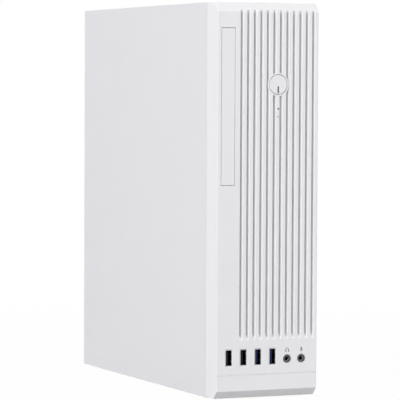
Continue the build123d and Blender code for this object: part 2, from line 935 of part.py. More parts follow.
def front_io_bracket():
    low = io_board_bottom - io_bracket_thickness
    shelf = block(io_board_left, io_board_right, wall_front, io_board_rear, low, io_board_bottom)
    leg = block(io_board_left, io_board_right, wall_front, wall_front + io_bracket_thickness,
                low - io_bracket_drop, low)
    return join([shelf, leg])


# Rear plates and screws
def cross_screw(head_radius, head_height, shank_radius, shank_length):
    """Screw with a rounded head and a cross recess, standing on z = 0 with its shank below."""
    head = rod_z(0, 0, 0, head_height, head_radius)
    head = fillet(head.edges().group_by(Axis.Z)[-1], screw_edge)
    shank = rod_z(0, 0, -shank_length, 0, shank_radius)
    reach = 2 * head_radius * cross_share
    middle = Pos(0, 0, head_height - cross_depth / 2)
    bars = [middle * Box(reach, cross_width, cross_depth), middle * Box(cross_width, reach, cross_depth)]
    return cut(join([head, shank]), bars)


def rear_screw(x, z, seat):
    """Screw driven from behind, with its head on y = seat."""
    screw = cross_screw(screw_head_radius, screw_head_height, screw_radius, screw_length)
    return Pos(x, seat, z) * Rot(-90, 0, 0) * screw


def slot_cover(z):
    half = cover_height / 2
    x1 = slot_right + cover_right_overlap
    plate = block(cover_left, x1, rear_out, rear_out + steel, z - half, z + half)
    step = (slot_right - slot_left) / cover_vent_count
    vents = []
    for i in range(cover_vent_count):
        x = slot_left + (i + 0.5) * step
        vents.append(block(x - cover_vent_width / 2, x + cover_vent_width / 2, rear_out, rear_out + steel,
                           z - cover_vent_height / 2, z + cover_vent_height / 2))
    hole = rod_y(cover_screw_x, rear_out, rear_out + steel, z, screw_radius + running)
    return cut(plate, [*vents, hole])


def expansion_slot_covers():
    return Compound([slot_cover(z) for z in slot_zs])


def slot_cover_screws():
    return Compound([rear_screw(cover_screw_x, z, rear_out + steel) for z in slot_zs])


def io_shield():
    plate = block(io_left - io_overlap, io_right + io_overlap, rear_in - shield_thickness, rear_in,
                  io_bottom - io_overlap, io_top + io_overlap)
    y0 = rear_in - shield_thickness
    cuts = [block(box[0] - slip, box[1] + slip, y0, rear_in, box[2] - slip, box[3] + slip)
            for box in rear_port_outlines()]
    return cut(plate, cuts)


# Rear sockets on the motherboard
def rear_usb_places():
    """Centre x and z of each rear socket, two stacked at each level."""
    xs = [board_face - usb_width / 2 - i * (usb_width + rear_usb_step) for i in range(2)]
    return [(x, z) for z in rear_usb_zs for x in xs]


def rear_port_outlines():
    """Left, right, lower and upper limit of every rear port in the shield."""
    boxes = [(x - usb_width / 2, x + usb_width / 2, z - usb_height / 2, z + usb_height / 2)
             for x, z in rear_usb_places()]
    boxes.append((board_face - network_height, board_face,
                  network_z - network_width / 2, network_z + network_width / 2))
    boxes.append((board_face - video_height, board_face,
                  video_z - video_width / 2, video_z + video_width / 2))
    boxes.append((board_face - audio_count * audio_step, board_face,
                  audio_z - audio_width / 2, audio_z + audio_width / 2))
    return boxes


def rear_usb_sockets():
    mouth = rear_out + rear_protrusion
    return Compound([usb_shell_along_y(x, z, mouth, -1) for x, z in rear_usb_places()])


def rear_usb_tongues():
    mouth = rear_out + rear_protrusion
    return Compound([usb_tongue_along_y(x, z, mouth, -1, 1) for x, z in rear_usb_places()])


def network_socket():
    mouth = rear_out + rear_protrusion
    body = block(board_face - network_height, board_face, mouth - network_length, mouth,
                 network_z - network_width / 2, network_z + network_width / 2)
    x = board_face - network_height / 2
    hollow = block(x - network_mouth_height / 2, x + network_mouth_height / 2,
                   mouth - network_mouth_depth, mouth,
                   network_z - network_mouth_width / 2, network_z + network_mouth_width / 2)
    return cut(body, [hollow])


def video_socket():
    x = board_face - video_height / 2
    mouth = rear_out + rear_protrusion
    body = block(board_face - video_height, board_face, mouth - video_length, mouth,
                 video_z - video_width / 2, video_z + video_width / 2)
    inner_x = video_height / 2 - video_wall
    inner_z = video_width / 2 - video_wall
    hollow = block(x - inner_x, x + inner_x, mouth - video_length + video_back, mouth,
                   video_z - inner_z, video_z + inner_z)
    root = mouth - video_length + video_back
    tongue = block(x - video_tongue_thickness / 2, x + video_tongue_thickness / 2,
                   root, root + video_tongue_length,
                   video_z - video_tongue_width / 2, video_z + video_tongue_width / 2)
    return join([cut(body, [hollow]), tongue])


def rear_audio_xs():
    return [board_face - (i + 0.5) * audio_step for i in range(audio_count)]


def rear_audio_jacks():
    mouth = rear_out + rear_protrusion
    jacks = []
    for x in rear_audio_xs():
        body = block(x - audio_step / 2, x + audio_step / 2, mouth - audio_length, mouth,
                     audio_z - audio_width / 2, audio_z + audio_width / 2)
        nose = rod_y(x, mouth, mouth + audio_nose_length, audio_z, audio_nose_radius)
        end = mouth + audio_nose_length
        bore = rod_y(x, end - jack_bore_depth, end, audio_z, jack_bore_radius)
        jacks.append(cut(join([body, nose]), [bore]))
    return Compound(jacks)


# Motherboard and what sits on it
def board_hole_places():
    ys = (board_rear - board_hole_rear, board_front + board_hole_front)
    zs = (board_bottom + board_hole_low, board_bottom + board_hole_middle, board_top - board_hole_high)
    return [(y, z) for y in ys for z in zs]


def on_board(back, level, width, length, height):
    """Block on the board face, centred at a distance from the rear edge and the lower edge."""
    y = board_rear - back
    z = board_bottom + level
    return block(board_face - height, board_face, y - width / 2, y + width / 2,
                 z - length / 2, z + length / 2)


def motherboard():
    board = block(board_face, board_back, board_front, board_rear, board_bottom, board_top)
    holes = [rod_x(board_face, board_back, y, z, board_hole_radius) for y, z in board_hole_places()]
    return cut(board, holes)


def board_standoffs():
    return Compound([
        cut(rod_x(board_back, inner_right, y, z, standoff_radius),
            [rod_x(board_back, inner_right - steel, y, z, screw_radius + running)])
        for y, z in board_hole_places()
    ])


def board_screws():
    length = board_thickness + screw_length / 2
    screw = Rot(0, -90, 0) * cross_screw(screw_head_radius, screw_head_height, screw_radius, length)
    return Compound([Pos(board_face, y, z) * screw for y, z in board_hole_places()])


def cpu_socket():
    return on_board(processor_back, processor_level, socket_side, socket_side, socket_height)


def cpu_heatsink():
    half = sink_side / 2
    base_plate = block(sink_face, sink_face + sink_base, processor_y - half, processor_y + half,
                       processor_z - half, processor_z + half)
    step = (sink_side - fin_thickness) / (fin_count - 1)
    fins = []
    for i in range(fin_count):
        z = processor_z - half + i * step
        fins.append(block(fin_tip, sink_face, processor_y - half, processor_y + half, z, z + fin_thickness))
    return join([base_plate, *fins])


def fan_frame():
    """Square fan frame, open at z = fan_depth, with the motor seat on struts at z = 0."""
    body = block(-fan_side / 2, fan_side / 2, -fan_side / 2, fan_side / 2, 0, fan_depth)
    inset = fan_side / 2 - fan_hole_inset
    holes = [rod_z(x, y, 0, fan_depth, fan_hole_radius) for x in (-inset, inset) for y in (-inset, inset)]
    ring = cut(body, [rod_z(0, 0, 0, fan_depth, fan_bore_radius), *holes])
    seat = rod_z(0, 0, 0, fan_plate, fan_motor_radius)
    post = rod_z(0, 0, 0, fan_depth / 2, fan_motor_radius / 2)
    struts = []
    for place in PolarLocations(0, fan_strut_count):
        strut = block(0, fan_bore_radius + running, -fan_strut_width / 2, fan_strut_width / 2, 0, fan_plate)
        struts.append(place * strut)
    bearing = rod_z(0, 0, 0, fan_depth / 2, fan_shaft_radius + running)
    return cut(join([ring, seat, post, *struts]), [bearing])


def fan_rotor():
    """Hub cup over the motor post, with a shaft in its bearing and tilted blades."""
    low = fan_plate + slip
    high = fan_depth - slip
    wall = fan_blade_thickness
    hub = rod_z(0, 0, low, high, fan_hub_radius)
    cup = rod_z(0, 0, low, high - 2 * wall, fan_hub_radius - wall)
    shaft = rod_z(0, 0, running, high - wall, fan_shaft_radius)
    reach = fan_bore_radius - fan_tip_gap
    middle = (low + high) / 2
    chord = (high - low - 2 * wall) / tan(radians(fan_blade_tilt))
    blade = Pos((fan_hub_radius + reach) / 2, 0, middle) * Rot(fan_blade_tilt, 0, 0)
    blade = blade * Box(reach - fan_hub_radius + wall, chord, fan_blade_thickness)
    blades = [place * blade for place in PolarLocations(0, fan_blade_count)]
    inside = rod_z(0, 0, 0, fan_depth, reach) - rod_z(0, 0, 0, fan_depth, fan_hub_radius - wall / 2)
    trimmed = [blade & inside for blade in blades]
    return join([cut(hub, [cup]), shaft, *trimmed])


def on_processor(shape):
    """Turn a fan so that it blows into the fins of the processor cooler."""
    return Pos(fin_tip - fan_depth, processor_y, processor_z) * Rot(0, 90, 0) * shape


def under_lid(shape):
    """Place a fan under the power supply lid."""
    x = (psu_left + psu_right) / 2
    return Pos(x, psu_fan_y, psu_top - psu_wall - fan_depth) * shape


def memory_sockets():
    sockets = []
    half = memory_socket_width / 2
    for y in memory_ys:
        body = block(board_face - memory_socket_height, board_face, y - half, y + half,
                     memory_bottom, memory_top)
        groove = block(board_face - memory_socket_height, board_face - memory_socket_height
                       + memory_groove_depth, y - memory_groove / 2, y + memory_groove / 2,
                       (memory_bottom + memory_top - module_length) / 2 - slip,
                       (memory_bottom + memory_top + module_length) / 2 + slip)
        ear = latch_width / 2 + slip
        ears = [block(board_face - memory_socket_height, board_face, *sorted((y + s * ear, y + s * half)),
                      memory_top, memory_top + latch_gap + latch_ear_length) for s in (-1, 1)]
        pin = rod_y(latch_pivot_x, y - half, y + half, latch_pivot_z, latch_pin_radius)
        sockets.append(join([cut(body, [groove]), *ears, pin]))
    return Compound(sockets)


def memory_modules():
    middle = (memory_bottom + memory_top) / 2
    seat = board_face - memory_socket_height + memory_groove_depth - slip
    modules = []
    for y in memory_ys:
        card = block(seat - module_height, seat, y - module_thickness / 2, y + module_thickness / 2,
                     middle - module_length / 2, middle + module_length / 2)
        step = module_length / chip_count
        chip_face = y - module_thickness / 2
        chips = []
        for i in range(chip_count):
            z = middle - module_length / 2 + (i + 0.5) * step
            chips.append(block(seat - chip_lift - chip_height, seat - chip_lift, chip_face - chip_thickness,
                               chip_face, z - chip_length / 2, z + chip_length / 2))
        modules.append(join([card, *chips]))
    return Compound(modules)


def memory_latch(y):
    half = latch_width / 2
    lever = block(latch_pivot_x + latch_foot - latch_height, latch_pivot_x + latch_foot, y - half, y + half,
                  latch_pivot_z - latch_thickness / 2, latch_pivot_z + latch_thickness / 2)
    bore = rod_y(latch_pivot_x, y - half, y + half, latch_pivot_z, latch_pin_radius + running)
    return cut(lever, [bore])


def expansion_sockets():
    sockets = []
    outer = board_face - slot_socket_height
    for z, length in ((slot_zs[0], long_socket_length), (slot_zs[2], short_socket_length)):
        body = on_board(slot_socket_back + length / 2, z - board_bottom, length, slot_socket_width,
                        slot_socket_height)
        y = board_rear - slot_socket_back - length / 2
        half = length / 2 - slot_socket_groove
        groove = block(outer, outer + slot_socket_groove_depth, y - half, y + half,
                       z - slot_socket_groove / 2, z + slot_socket_groove / 2)
        sockets.append(cut(body, [groove]))
    return Compound(sockets)


def chipset_heatsink():
    plate = on_board(board_depth - chipset_front, chipset_level, chipset_side, chipset_side, chipset_base)
    y = board_front + chipset_front
    z0 = board_bottom + chipset_level - chipset_side / 2
    step = (chipset_side - fin_thickness) / (chipset_fin_count - 1)
    outer = board_face - chipset_base - chipset_fin_height
    fins = []
    for i in range(chipset_fin_count):
        z = z0 + i * step
        fins.append(block(outer, board_face - chipset_base, y - chipset_side / 2, y + chipset_side / 2,
                          z, z + fin_thickness))
    return join([plate, *fins])


def board_connectors():
    plugs = [
        on_board(board_depth - main_plug_front, main_plug_level, main_plug_width, main_plug_length,
                 plug_height),
        on_board(processor_plug_back, processor_plug_level, processor_plug_length, main_plug_width,
                 plug_height),
        on_board(board_depth - front_header_front, front_header_level, header_length, header_width,
                 data_plug_height),
        on_board(board_depth - switch_header_front, switch_header_level, data_plug_width, header_length,
                 data_plug_height),
    ]
    plugs += [on_board(board_depth - data_plug_front, data_plug_level + i * data_plug_step, data_plug_width,
                       data_plug_width, data_plug_height) for i in range(2)]
    return Compound(plugs)


def voltage_coils():
    return Compound([
        on_board(coil_first_back + i * coil_pitch, coil_level, coil_side, coil_side, coil_side)
        for i in range(coil_count)
    ])


# Drive cage and drive
def drive_cage():
    rear = wall_front + cage_depth
    plate = block(cage_left, cage_right, wall_front, rear, drive_bottom, bay_top + cage_gap + steel)
    roof = block(bay_left, cage_left, wall_front, rear, bay_top + cage_gap, bay_top + cage_gap + steel)
    shelf = block(bay_left, cage_left, wall_front, rear, shelf_top - steel, shelf_top)
    lip = block(cage_right, cage_right + cage_lip, wall_front, wall_front + steel, drive_bottom,
                bay_top + cage_gap)
    return join([plate, roof, shelf, lip])


def solid_state_drive():
    drive = block(drive_left, drive_right, drive_front, drive_front + drive_width, drive_bottom, drive_top)
    return chamfer(drive.edges().filter_by(Axis.X), drive_edge)


# Power supply
def psu_case():
    outer = block(psu_left, psu_right, psu_front, rear_in, floor, psu_top - psu_wall)
    hollow = block(psu_left + psu_wall, psu_right - psu_wall, psu_front + psu_wall, rear_in - psu_wall,
                   floor + psu_wall, psu_top)
    back = rear_in - psu_wall
    inlet_w = inlet_half_width + running
    inlet_h = inlet_half_height + running
    rocker_w = rocker_half_length + running
    rocker_h = rocker_half_height + running
    holes = [
        block(inlet_x - inlet_w, inlet_x + inlet_w, back, rear_in, inlet_z - inlet_h, inlet_z + inlet_h),
        block(inlet_x - rocker_w, inlet_x + rocker_w, back, rear_in,
              rocker_z - rocker_h, rocker_z + rocker_h),
    ]
    vent_right = inlet_x - inlet_half_width - inlet_flange - vent_margin
    vent_step = (psu_window_z1 - psu_window_z0) / psu_vent_rows
    for i in range(psu_vent_rows):
        z = psu_window_z0 + (i + 0.5) * vent_step
        holes.append(block(vent_right - psu_vent_width, vent_right, back, rear_in,
                           z - psu_vent_height / 2, z + psu_vent_height / 2))
    holes += [rod_y(x, back, rear_in, z, screw_radius + running)
              for x in psu_screw_xs for z in psu_screw_zs]
    return cut(outer, [hollow, *holes])


def psu_lid():
    plate = block(psu_left, psu_right, psu_front, rear_in, psu_top - psu_wall, psu_top)
    x = (psu_left + psu_right) / 2
    grille = rod_z(x, psu_fan_y, psu_top - psu_wall, psu_top, fan_bore_radius)
    band = fan_bore_radius / (psu_grille_rings + 1)
    keep = [rod_z(x, psu_fan_y, psu_top - psu_wall, psu_top, band)]
    for i in range(1, psu_grille_rings + 1):
        outer = rod_z(x, psu_fan_y, psu_top - psu_wall, psu_top, i * band + psu_grille_wire)
        keep.append(outer - rod_z(x, psu_fan_y, psu_top - psu_wall, psu_top, i * band))
    half = fan_strut_width / 2
    keep.append(block(x - fan_side / 2, x + fan_side / 2, psu_fan_y - half, psu_fan_y + half,
                      psu_top - psu_wall, psu_top))
    keep.append(block(x - half, x + half, psu_fan_y - fan_side / 2, psu_fan_y + fan_side / 2,
                      psu_top - psu_wall, psu_top))
    return cut(plate, cut(grille, keep).solids())


def psu_board():
    x0 = psu_left + psu_board_inset
    x1 = psu_right - psu_board_inset
    y0 = psu_front + psu_board_inset
    y1 = rear_in - inlet_depth - 2 * psu_board_inset
    z0 = floor + psu_wall
    under = floor + psu_board_height
    top_face = under + psu_board_thickness
    part_top = top_face + psu_part_height
    pieces = [block(x0, x1, y0, y1, under, top_face)]
    side_xs = (x0 + psu_board_inset, x1 - psu_board_inset)
    for x in side_xs:
        for y in (y0 + psu_board_inset, y1 - psu_board_inset):
            pieces.append(rod_z(x, y, z0, under, psu_board_inset / 2))
        pieces.append(block(x - heat_plate_thickness / 2, x + heat_plate_thickness / 2,
                            y0 + heat_plate_front, y0 + heat_plate_front + heat_plate_length,
                            top_face, part_top))
    middle = (x0 + x1) / 2
    pieces.append(block(middle - transformer_width / 2, middle + transformer_width / 2,
                        y0 + transformer_front, y0 + transformer_front + transformer_length,
                        top_face, part_top))
    for i in range(capacitor_count):
        y = y0 + capacitor_front + i * capacitor_step
        pieces.append(rod_z(middle, y, top_face, part_top, capacitor_radius))
    return join(pieces)


def mains_inlet():
    outer_w = inlet_half_width
    outer_h = inlet_half_height
    face = rear_in + inlet_flange_thickness
    back = face - inlet_depth - inlet_wall
    flange = block(inlet_x - outer_w - inlet_flange, inlet_x + outer_w + inlet_flange, rear_in, face,
                   inlet_z - outer_h - inlet_flange, inlet_z + outer_h + inlet_flange)
    body = block(inlet_x - outer_w, inlet_x + outer_w, back, rear_in,
                 inlet_z - outer_h, inlet_z + outer_h)
    mouth = block(inlet_x - inlet_mouth_width / 2, inlet_x + inlet_mouth_width / 2, face - inlet_depth, face,
                  inlet_z - inlet_mouth_height / 2, inlet_z + inlet_mouth_height / 2)
    mouth = chamfer(mouth.edges().filter_by(Axis.Y).group_by(Axis.Z)[-1], inlet_mouth_height / 4)
    pins = []
    for i, rise in ((-1, -1), (0, 1), (1, -1)):
        x = inlet_x + i * inlet_pin_pitch
        z = inlet_z + rise * inlet_pin_offset
        pins.append(block(x - inlet_pin_width / 2, x + inlet_pin_width / 2, face - inlet_depth,
                          face - inlet_pin_inset, z - inlet_pin_height / 2, z + inlet_pin_height / 2))
    return join([cut(join([flange, body]), [mouth]), *pins])


def psu_rocker_frame():
    half_l = rocker_half_length
    half_h = rocker_half_height
    face = rear_in + inlet_flange_thickness
    back = face - rocker_frame_depth
    flange = block(inlet_x - half_l - rocker_frame_flange, inlet_x + half_l + rocker_frame_flange,
                   rear_in, face, rocker_z - half_h - rocker_frame_flange,
                   rocker_z + half_h + rocker_frame_flange)
    body = block(inlet_x - half_l, inlet_x + half_l, back, rear_in, rocker_z - half_h, rocker_z + half_h)
    window = block(inlet_x - rocker_length / 2, inlet_x + rocker_length / 2, back + rocker_frame_wall, face,
                   rocker_z - rocker_height / 2, rocker_z + rocker_height / 2)
    bearing = rod_z(inlet_x, rocker_pivot_y, rocker_z - half_h, rocker_z + half_h,
                    rocker_pin_radius + running)
    return cut(join([flange, body]), [window, bearing])


def psu_rocker():
    """Rocker with a bent face, built lying level and then tilted to its on position."""
    half_l = rocker_length / 2 - 2 * rocker_gap
    half_h = rocker_height / 2 - rocker_gap
    face = rear_in + inlet_flange_thickness
    dip = face - rocker_crown / 2
    outline = [
        (inlet_x - half_l, rocker_pivot_y),
        (inlet_x - half_l, face + rocker_crown / 2),
        (inlet_x, dip),
        (inlet_x + half_l, face + rocker_crown / 2),
        (inlet_x + half_l, rocker_pivot_y),
        (inlet_x, rocker_pivot_y - 2 * rocker_pin_radius),
    ]
    body = upright_prism(outline, rocker_z - half_h, rocker_z + half_h)
    pin_half = rocker_height / 2 + rocker_frame_wall / 2
    pin = rod_z(inlet_x, rocker_pivot_y, rocker_z - pin_half, rocker_z + pin_half, rocker_pin_radius)
    pivot = Axis((inlet_x, rocker_pivot_y, rocker_z), (0, 0, 1))
    return join([body, pin]).rotate(pivot, -rocker_tilt)


def psu_screws():
    return Compound([rear_screw(x, z, rear_out) for x in psu_screw_xs for z in psu_screw_zs])


# Cables between the power supply, the boards and the drive
def power_cables():
    main_z = board_bottom + main_plug_level
    main_y = board_front + main_plug_front
    level = floor + main_cable_level
    main = tube([(main_cable_x, psu_front, level), (main_cable_x, main_y, level),
                 (main_cable_x, main_y, main_z), (board_face - plug_height, main_y, main_z)],
                main_cable_radius, 3 * main_cable_radius)
    top_z = board_bottom + processor_plug_level
    rise_y = psu_front - processor_cable_front
    end_y = board_rear - processor_plug_back
    level = floor + processor_cable_level
    processor = tube([(processor_cable_x, psu_front, level), (processor_cable_x, rise_y, level),
                      (processor_cable_x, rise_y, top_z), (processor_cable_x, end_y, top_z),
                      (board_face - plug_height, end_y, top_z)],
                     processor_cable_radius, 4 * processor_cable_radius)
    drive_x = (drive_left + drive_right) / 2
    plug_y = drive_front + drive_plug_inset
    level = floor + drive_cable_level
    drive = tube([(drive_x, psu_front, level), (drive_x, plug_y, level), (drive_x, plug_y, drive_bottom)],
                 drive_cable_radius, 4 * drive_cable_radius)
    return Compound([main, processor, drive])


def signal_cables():
    drive_x = (drive_left + drive_right) / 2
    data_y = board_front + data_plug_front
    data_z = board_bottom + data_plug_level
    low = drive_bottom - data_cable_drop
    data = tube([(drive_x, data_y, drive_bottom), (drive_x, data_y, low), (data_cable_x, data_y, low),
                 (data_cable_x, data_y, data_z), (board_face - data_plug_height, data_y, data_z)],
                data_cable_radius, 4 * data_cable_radius)
    front_z = io_board_top + front_cable_radius
    end_y = board_front + front_header_front
    end_z = board_bottom + front_header_level
    front_lead = tube([(front_cable_x, io_board_rear - header_width, front_z),
                       (front_cable_x, end_y, front_z), (front_cable_x, end_y, end_z),
                       (board_face - data_plug_height, end_y, end_z)],
                      front_cable_radius, 3 * front_cable_radius)
    start_z = light_levels[-1]
    down_y = seam + switch_cable_back
    header_y = board_front + switch_header_front
    header_z = board_bottom + switch_header_level
    switch = tube([(button_x, switch_board_front + switch_board_thickness, start_z),
                   (button_x, down_y, start_z), (button_x, down_y, header_z),
                   (button_x, header_y, header_z), (board_face - data_plug_height, header_y, header_z)],
                  switch_cable_radius, 4 * switch_cable_radius)
    return Compound([data, front_lead, switch])


PARTS = {
    "case_shell": case_shell(),
    "front_wall": front_wall(),
    "rear_wall": rear_wall(),
    "rubber_feet": rubber_feet(),
    "side_panel": side_panel(),
    "thumbscrew_lower": thumbscrew(thumb_zs[0]),
    "thumbscrew_upper": thumbscrew(thumb_zs[1]),
    "front_bezel": front_bezel(),
    "drive_bay_blank": drive_bay_blank(),
    "power_button": power_button(),
    "button_light_bar": light_bar_block(),
    "switch_plunger": switch_plunger(),
    "power_switch": power_switch(),
    "switch_board": switch_board(),
    "switch_board_screws": switch_board_screws(),
    "status_light_pipes": status_light_pipes(),
    "front_usb_sockets": front_usb_sockets(),
    "front_usb_tongues_black": front_usb_tongues(usb_xs[:2]),
    "front_usb_tongues_blue": front_usb_tongues(usb_xs[2:]),
    "headphone_jack": front_jack(jack_xs[0]),
    "microphone_jack": front_jack(jack_xs[1]),
    "front_io_board": front_io_board(),
    "front_io_bracket": front_io_bracket(),
    "expansion_slot_covers": expansion_slot_covers(),
    "slot_cover_screws": slot_cover_screws(),
    "io_shield": io_shield(),
    "rear_usb_sockets": rear_usb_sockets(),
    "rear_usb_tongues": rear_usb_tongues(),
    "network_socket": network_socket(),
    "video_socket": video_socket(),
    "rear_audio_jacks": rear_audio_jacks(),
    "motherboard": motherboard(),
    "board_standoffs": board_standoffs(),
    "board_screws": board_screws(),
    "cpu_socket": cpu_socket(),
    "cpu_heatsink": cpu_heatsink(),
    "cpu_fan_frame": on_processor(fan_frame()),
    "cpu_fan_rotor": on_processor(fan_rotor()),
    "memory_sockets": memory_sockets(),
    "memory_modules": memory_modules(),
    "memory_latch_rear": memory_latch(memory_ys[0]),
    "memory_latch_front": memory_latch(memory_ys[1]),
    "expansion_sockets": expansion_sockets(),
    "chipset_heatsink": chipset_heatsink(),
    "board_connectors": board_connectors(),
    "voltage_coils": voltage_coils(),
    "drive_cage": drive_cage(),
    "solid_state_drive": solid_state_drive(),
    "psu_case": psu_case(),
    "psu_lid": psu_lid(),
    "psu_fan_frame": under_lid(fan_frame()),
    "psu_fan_rotor": under_lid(fan_rotor()),
    "psu_board": psu_board(),
    "mains_inlet": mains_inlet(),
    "psu_rocker_frame": psu_rocker_frame(),
    "psu_rocker": psu_rocker(),
    "psu_screws": psu_screws(),
    "power_cables": power_cables(),
    "signal_cables": signal_cables(),
}

os.makedirs("parts", exist_ok=True)
for node, shape in PARTS.items():
    export_step(shape, f"parts/{node}.step")
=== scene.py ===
import json
import math

import bmesh
import bpy
from mathutils import Matrix, Vector


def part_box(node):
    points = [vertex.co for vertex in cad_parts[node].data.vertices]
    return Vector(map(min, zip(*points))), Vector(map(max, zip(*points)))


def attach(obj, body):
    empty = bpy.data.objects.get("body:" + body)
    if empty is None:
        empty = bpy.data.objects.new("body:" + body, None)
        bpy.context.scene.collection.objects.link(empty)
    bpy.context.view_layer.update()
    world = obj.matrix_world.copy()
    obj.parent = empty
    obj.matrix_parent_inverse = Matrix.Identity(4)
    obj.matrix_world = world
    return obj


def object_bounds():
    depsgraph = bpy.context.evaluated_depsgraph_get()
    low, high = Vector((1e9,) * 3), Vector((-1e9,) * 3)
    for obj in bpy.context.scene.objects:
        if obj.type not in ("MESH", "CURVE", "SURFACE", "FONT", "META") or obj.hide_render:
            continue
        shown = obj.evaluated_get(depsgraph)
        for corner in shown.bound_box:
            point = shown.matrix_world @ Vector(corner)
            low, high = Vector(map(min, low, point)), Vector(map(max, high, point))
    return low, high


# Slim white desktop computer tower: finishes, printed signs, contacts, light and camera.
# Metres, +Z up, the front faces -Y.

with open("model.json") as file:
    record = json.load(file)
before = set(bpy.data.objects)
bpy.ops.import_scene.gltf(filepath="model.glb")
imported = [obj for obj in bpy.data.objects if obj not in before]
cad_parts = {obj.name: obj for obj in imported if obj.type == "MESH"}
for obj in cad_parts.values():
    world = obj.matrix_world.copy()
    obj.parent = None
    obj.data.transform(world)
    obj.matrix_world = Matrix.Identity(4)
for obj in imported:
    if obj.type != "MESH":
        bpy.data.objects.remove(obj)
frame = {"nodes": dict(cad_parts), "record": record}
cad_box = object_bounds()
mm = 0.001

# Camera, as the photograph was taken
image_size = 400
focal_pixels = 2530.3
sensor_width = 36.0
camera_place = Vector((-878.0, -1995.8, 253.5)) * mm
camera_yaw = math.radians(23.9)
camera_pitch = math.radians(2.524)
camera_roll = math.radians(0.271)

# Light and floor
white = (1, 1, 1, 1)
sky_top = 0.22
sky_side = 0.12
sky_low = 0.1
horizon = 0.5
key_power = 255.0
key_place = Vector((-4.6, -1.9, 3.0))
key_size = 1.6
fill_power = 87.0
fill_place = Vector((2.5, -2.8, 1.9))
fill_size = 2.8
back_power = 28.0
back_place = Vector((1.2, 2.4, 1.2))
back_size = 1.6
floor_size = 6.0
floor_grey = (0.6, 0.6, 0.6)
floor_near = 0.3
floor_far = 1.2
floor_white_near = 0.98
floor_white_far = 1.0

# Finishes
roughness_below = 0.06
roughness_above = 0.08
band_margin = 1.0 * mm
board_green = (0.02, 0.12, 0.05)
lacquer_dark = (0.012, 0.085, 0.035)
lacquer_light = (0.025, 0.15, 0.06)
track_threshold = 0.54
board_tracks_per_metre = 900
board_track_stretch = 0.03
board_track_relief = 0.03 * mm
patches_per_metre = 28
patch_threshold = 0.55
dots_per_metre = 330
dot_radius_in_cells = 0.16
tin_color = (0.55, 0.55, 0.5)
card_tracks_per_metre = 1200
card_track_stretch = 0.06
card_track_relief = 0.02 * mm
card_thickness = 1.4 * mm
chip_height = 1.1 * mm
chip_skin = 0.01 * mm
chip_color = (0.022, 0.022, 0.024)

# Printed signs
print_lift = 0.06 * mm
print_sink = 0.2 * mm
arc_steps = 20
sign_stroke = 0.45 * mm
headphone_lift = 7.4 * mm
headphone_width = 3.7 * mm
headphone_height = 3.2 * mm
ear_pad_width = 1.25 * mm
ear_pad_height = 1.35 * mm
microphone_lift = 7.6 * mm
microphone_height = 3.4 * mm
microphone_foot_width = 1.47 * mm
capsule_width = 1.35 * mm
capsule_height = 2.3 * mm
cradle_width = 2.1 * mm
switch_mark_height = 3.4 * mm
switch_mark_reach = 4.6 * mm
switch_tilt = math.radians(8.0)
switch_half_length = 7.5 * mm
switch_crown = 2.2 * mm
switch_face = 4.0 * mm

# USB sockets
usb_shell = 0.3 * mm
usb_width = 5.72 * mm
usb_pitch = 13.0 * mm
usb_count = 4
usb_rim = 0.25 * mm
tongue_offset = 0.75 * mm
tongue_thickness = 1.84 * mm
tongue_tip_depth = 1.2 * mm
strip_thickness = 0.08 * mm
strip_length = 6.0 * mm
strip_width = 1.0 * mm
strip_pitch = 2.3 * mm
strip_count = 4
leaf_length = 5.0 * mm
leaf_width = 2.2 * mm
leaf_rise = 0.45 * mm
leaf_pitch = 6.0 * mm
leaf_start = 0.9 * mm
leaf_sheet = 0.15 * mm

# Front audio jacks
jack_bore = 1.8 * mm
collar_radius = 3.15 * mm
collar_recess = 0.6 * mm
collar_rim = 0.25 * mm
sleeve_start = 0.4 * mm
sleeve_length = 2.4 * mm
sleeve_sheet = 0.14 * mm
turn_steps = 48

# Network socket. The wire path is (distance from the back of the mouth, height above its wall).
wire_radius = 0.2 * mm
wire_pitch = 1.02 * mm
wire_count = 8
wire_path = [(0.5 * mm, 3.4 * mm), (4.0 * mm, 3.0 * mm), (8.0 * mm, 1.6 * mm),
             (10.0 * mm, 0.5 * mm), (10.6 * mm, 0.05 * mm)]
network_mouth_depth = 13.0 * mm
network_mouth_height = 8.5 * mm
network_lamp_width = 3.2 * mm
network_lamp_height = 1.5 * mm
network_lamp_proud = 0.15 * mm

# Video socket
video_mouth_depth = 10.0 * mm
video_tongue_thickness = 1.0 * mm
video_left_strips = 9
video_right_strips = 10
video_strip_pitch = 1.0 * mm
video_strip_width = 0.5 * mm
video_strip_length = 7.6 * mm
video_strip_point = 0.4 * mm

# Mains inlet
inlet_depth = 17.0 * mm
pin_skin = 0.06 * mm
pin_pitch = 7.0 * mm
pin_offset = 2.0 * mm
pin_width = 2.0 * mm
pin_height = 4.0 * mm
pin_inset = 2.0 * mm
pin_taper = 0.6 * mm

# Places read from the frame
face_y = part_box("front_bezel")[0].y
usb_low, usb_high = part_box("front_usb_sockets")
usb_xs = [usb_low.x + usb_width / 2 + i * usb_pitch for i in range(usb_count)]
usb_z = (usb_low.z + usb_high.z) / 2
rear_usb_low, rear_usb_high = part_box("rear_usb_sockets")
rear_usb_xs = [rear_usb_low.x + usb_width / 2, rear_usb_high.x - usb_width / 2]
usb_half_height = (usb_high.z - usb_low.z) / 2
rear_usb_zs = [rear_usb_low.z + usb_half_height, rear_usb_high.z - usb_half_height]
sockets = {mount["name"]: Vector(mount["pos_m"]) for mount in frame["record"]["mounts"]}
joints = {joint["name"]: joint for joint in frame["record"]["behaviour"]["joints"]}


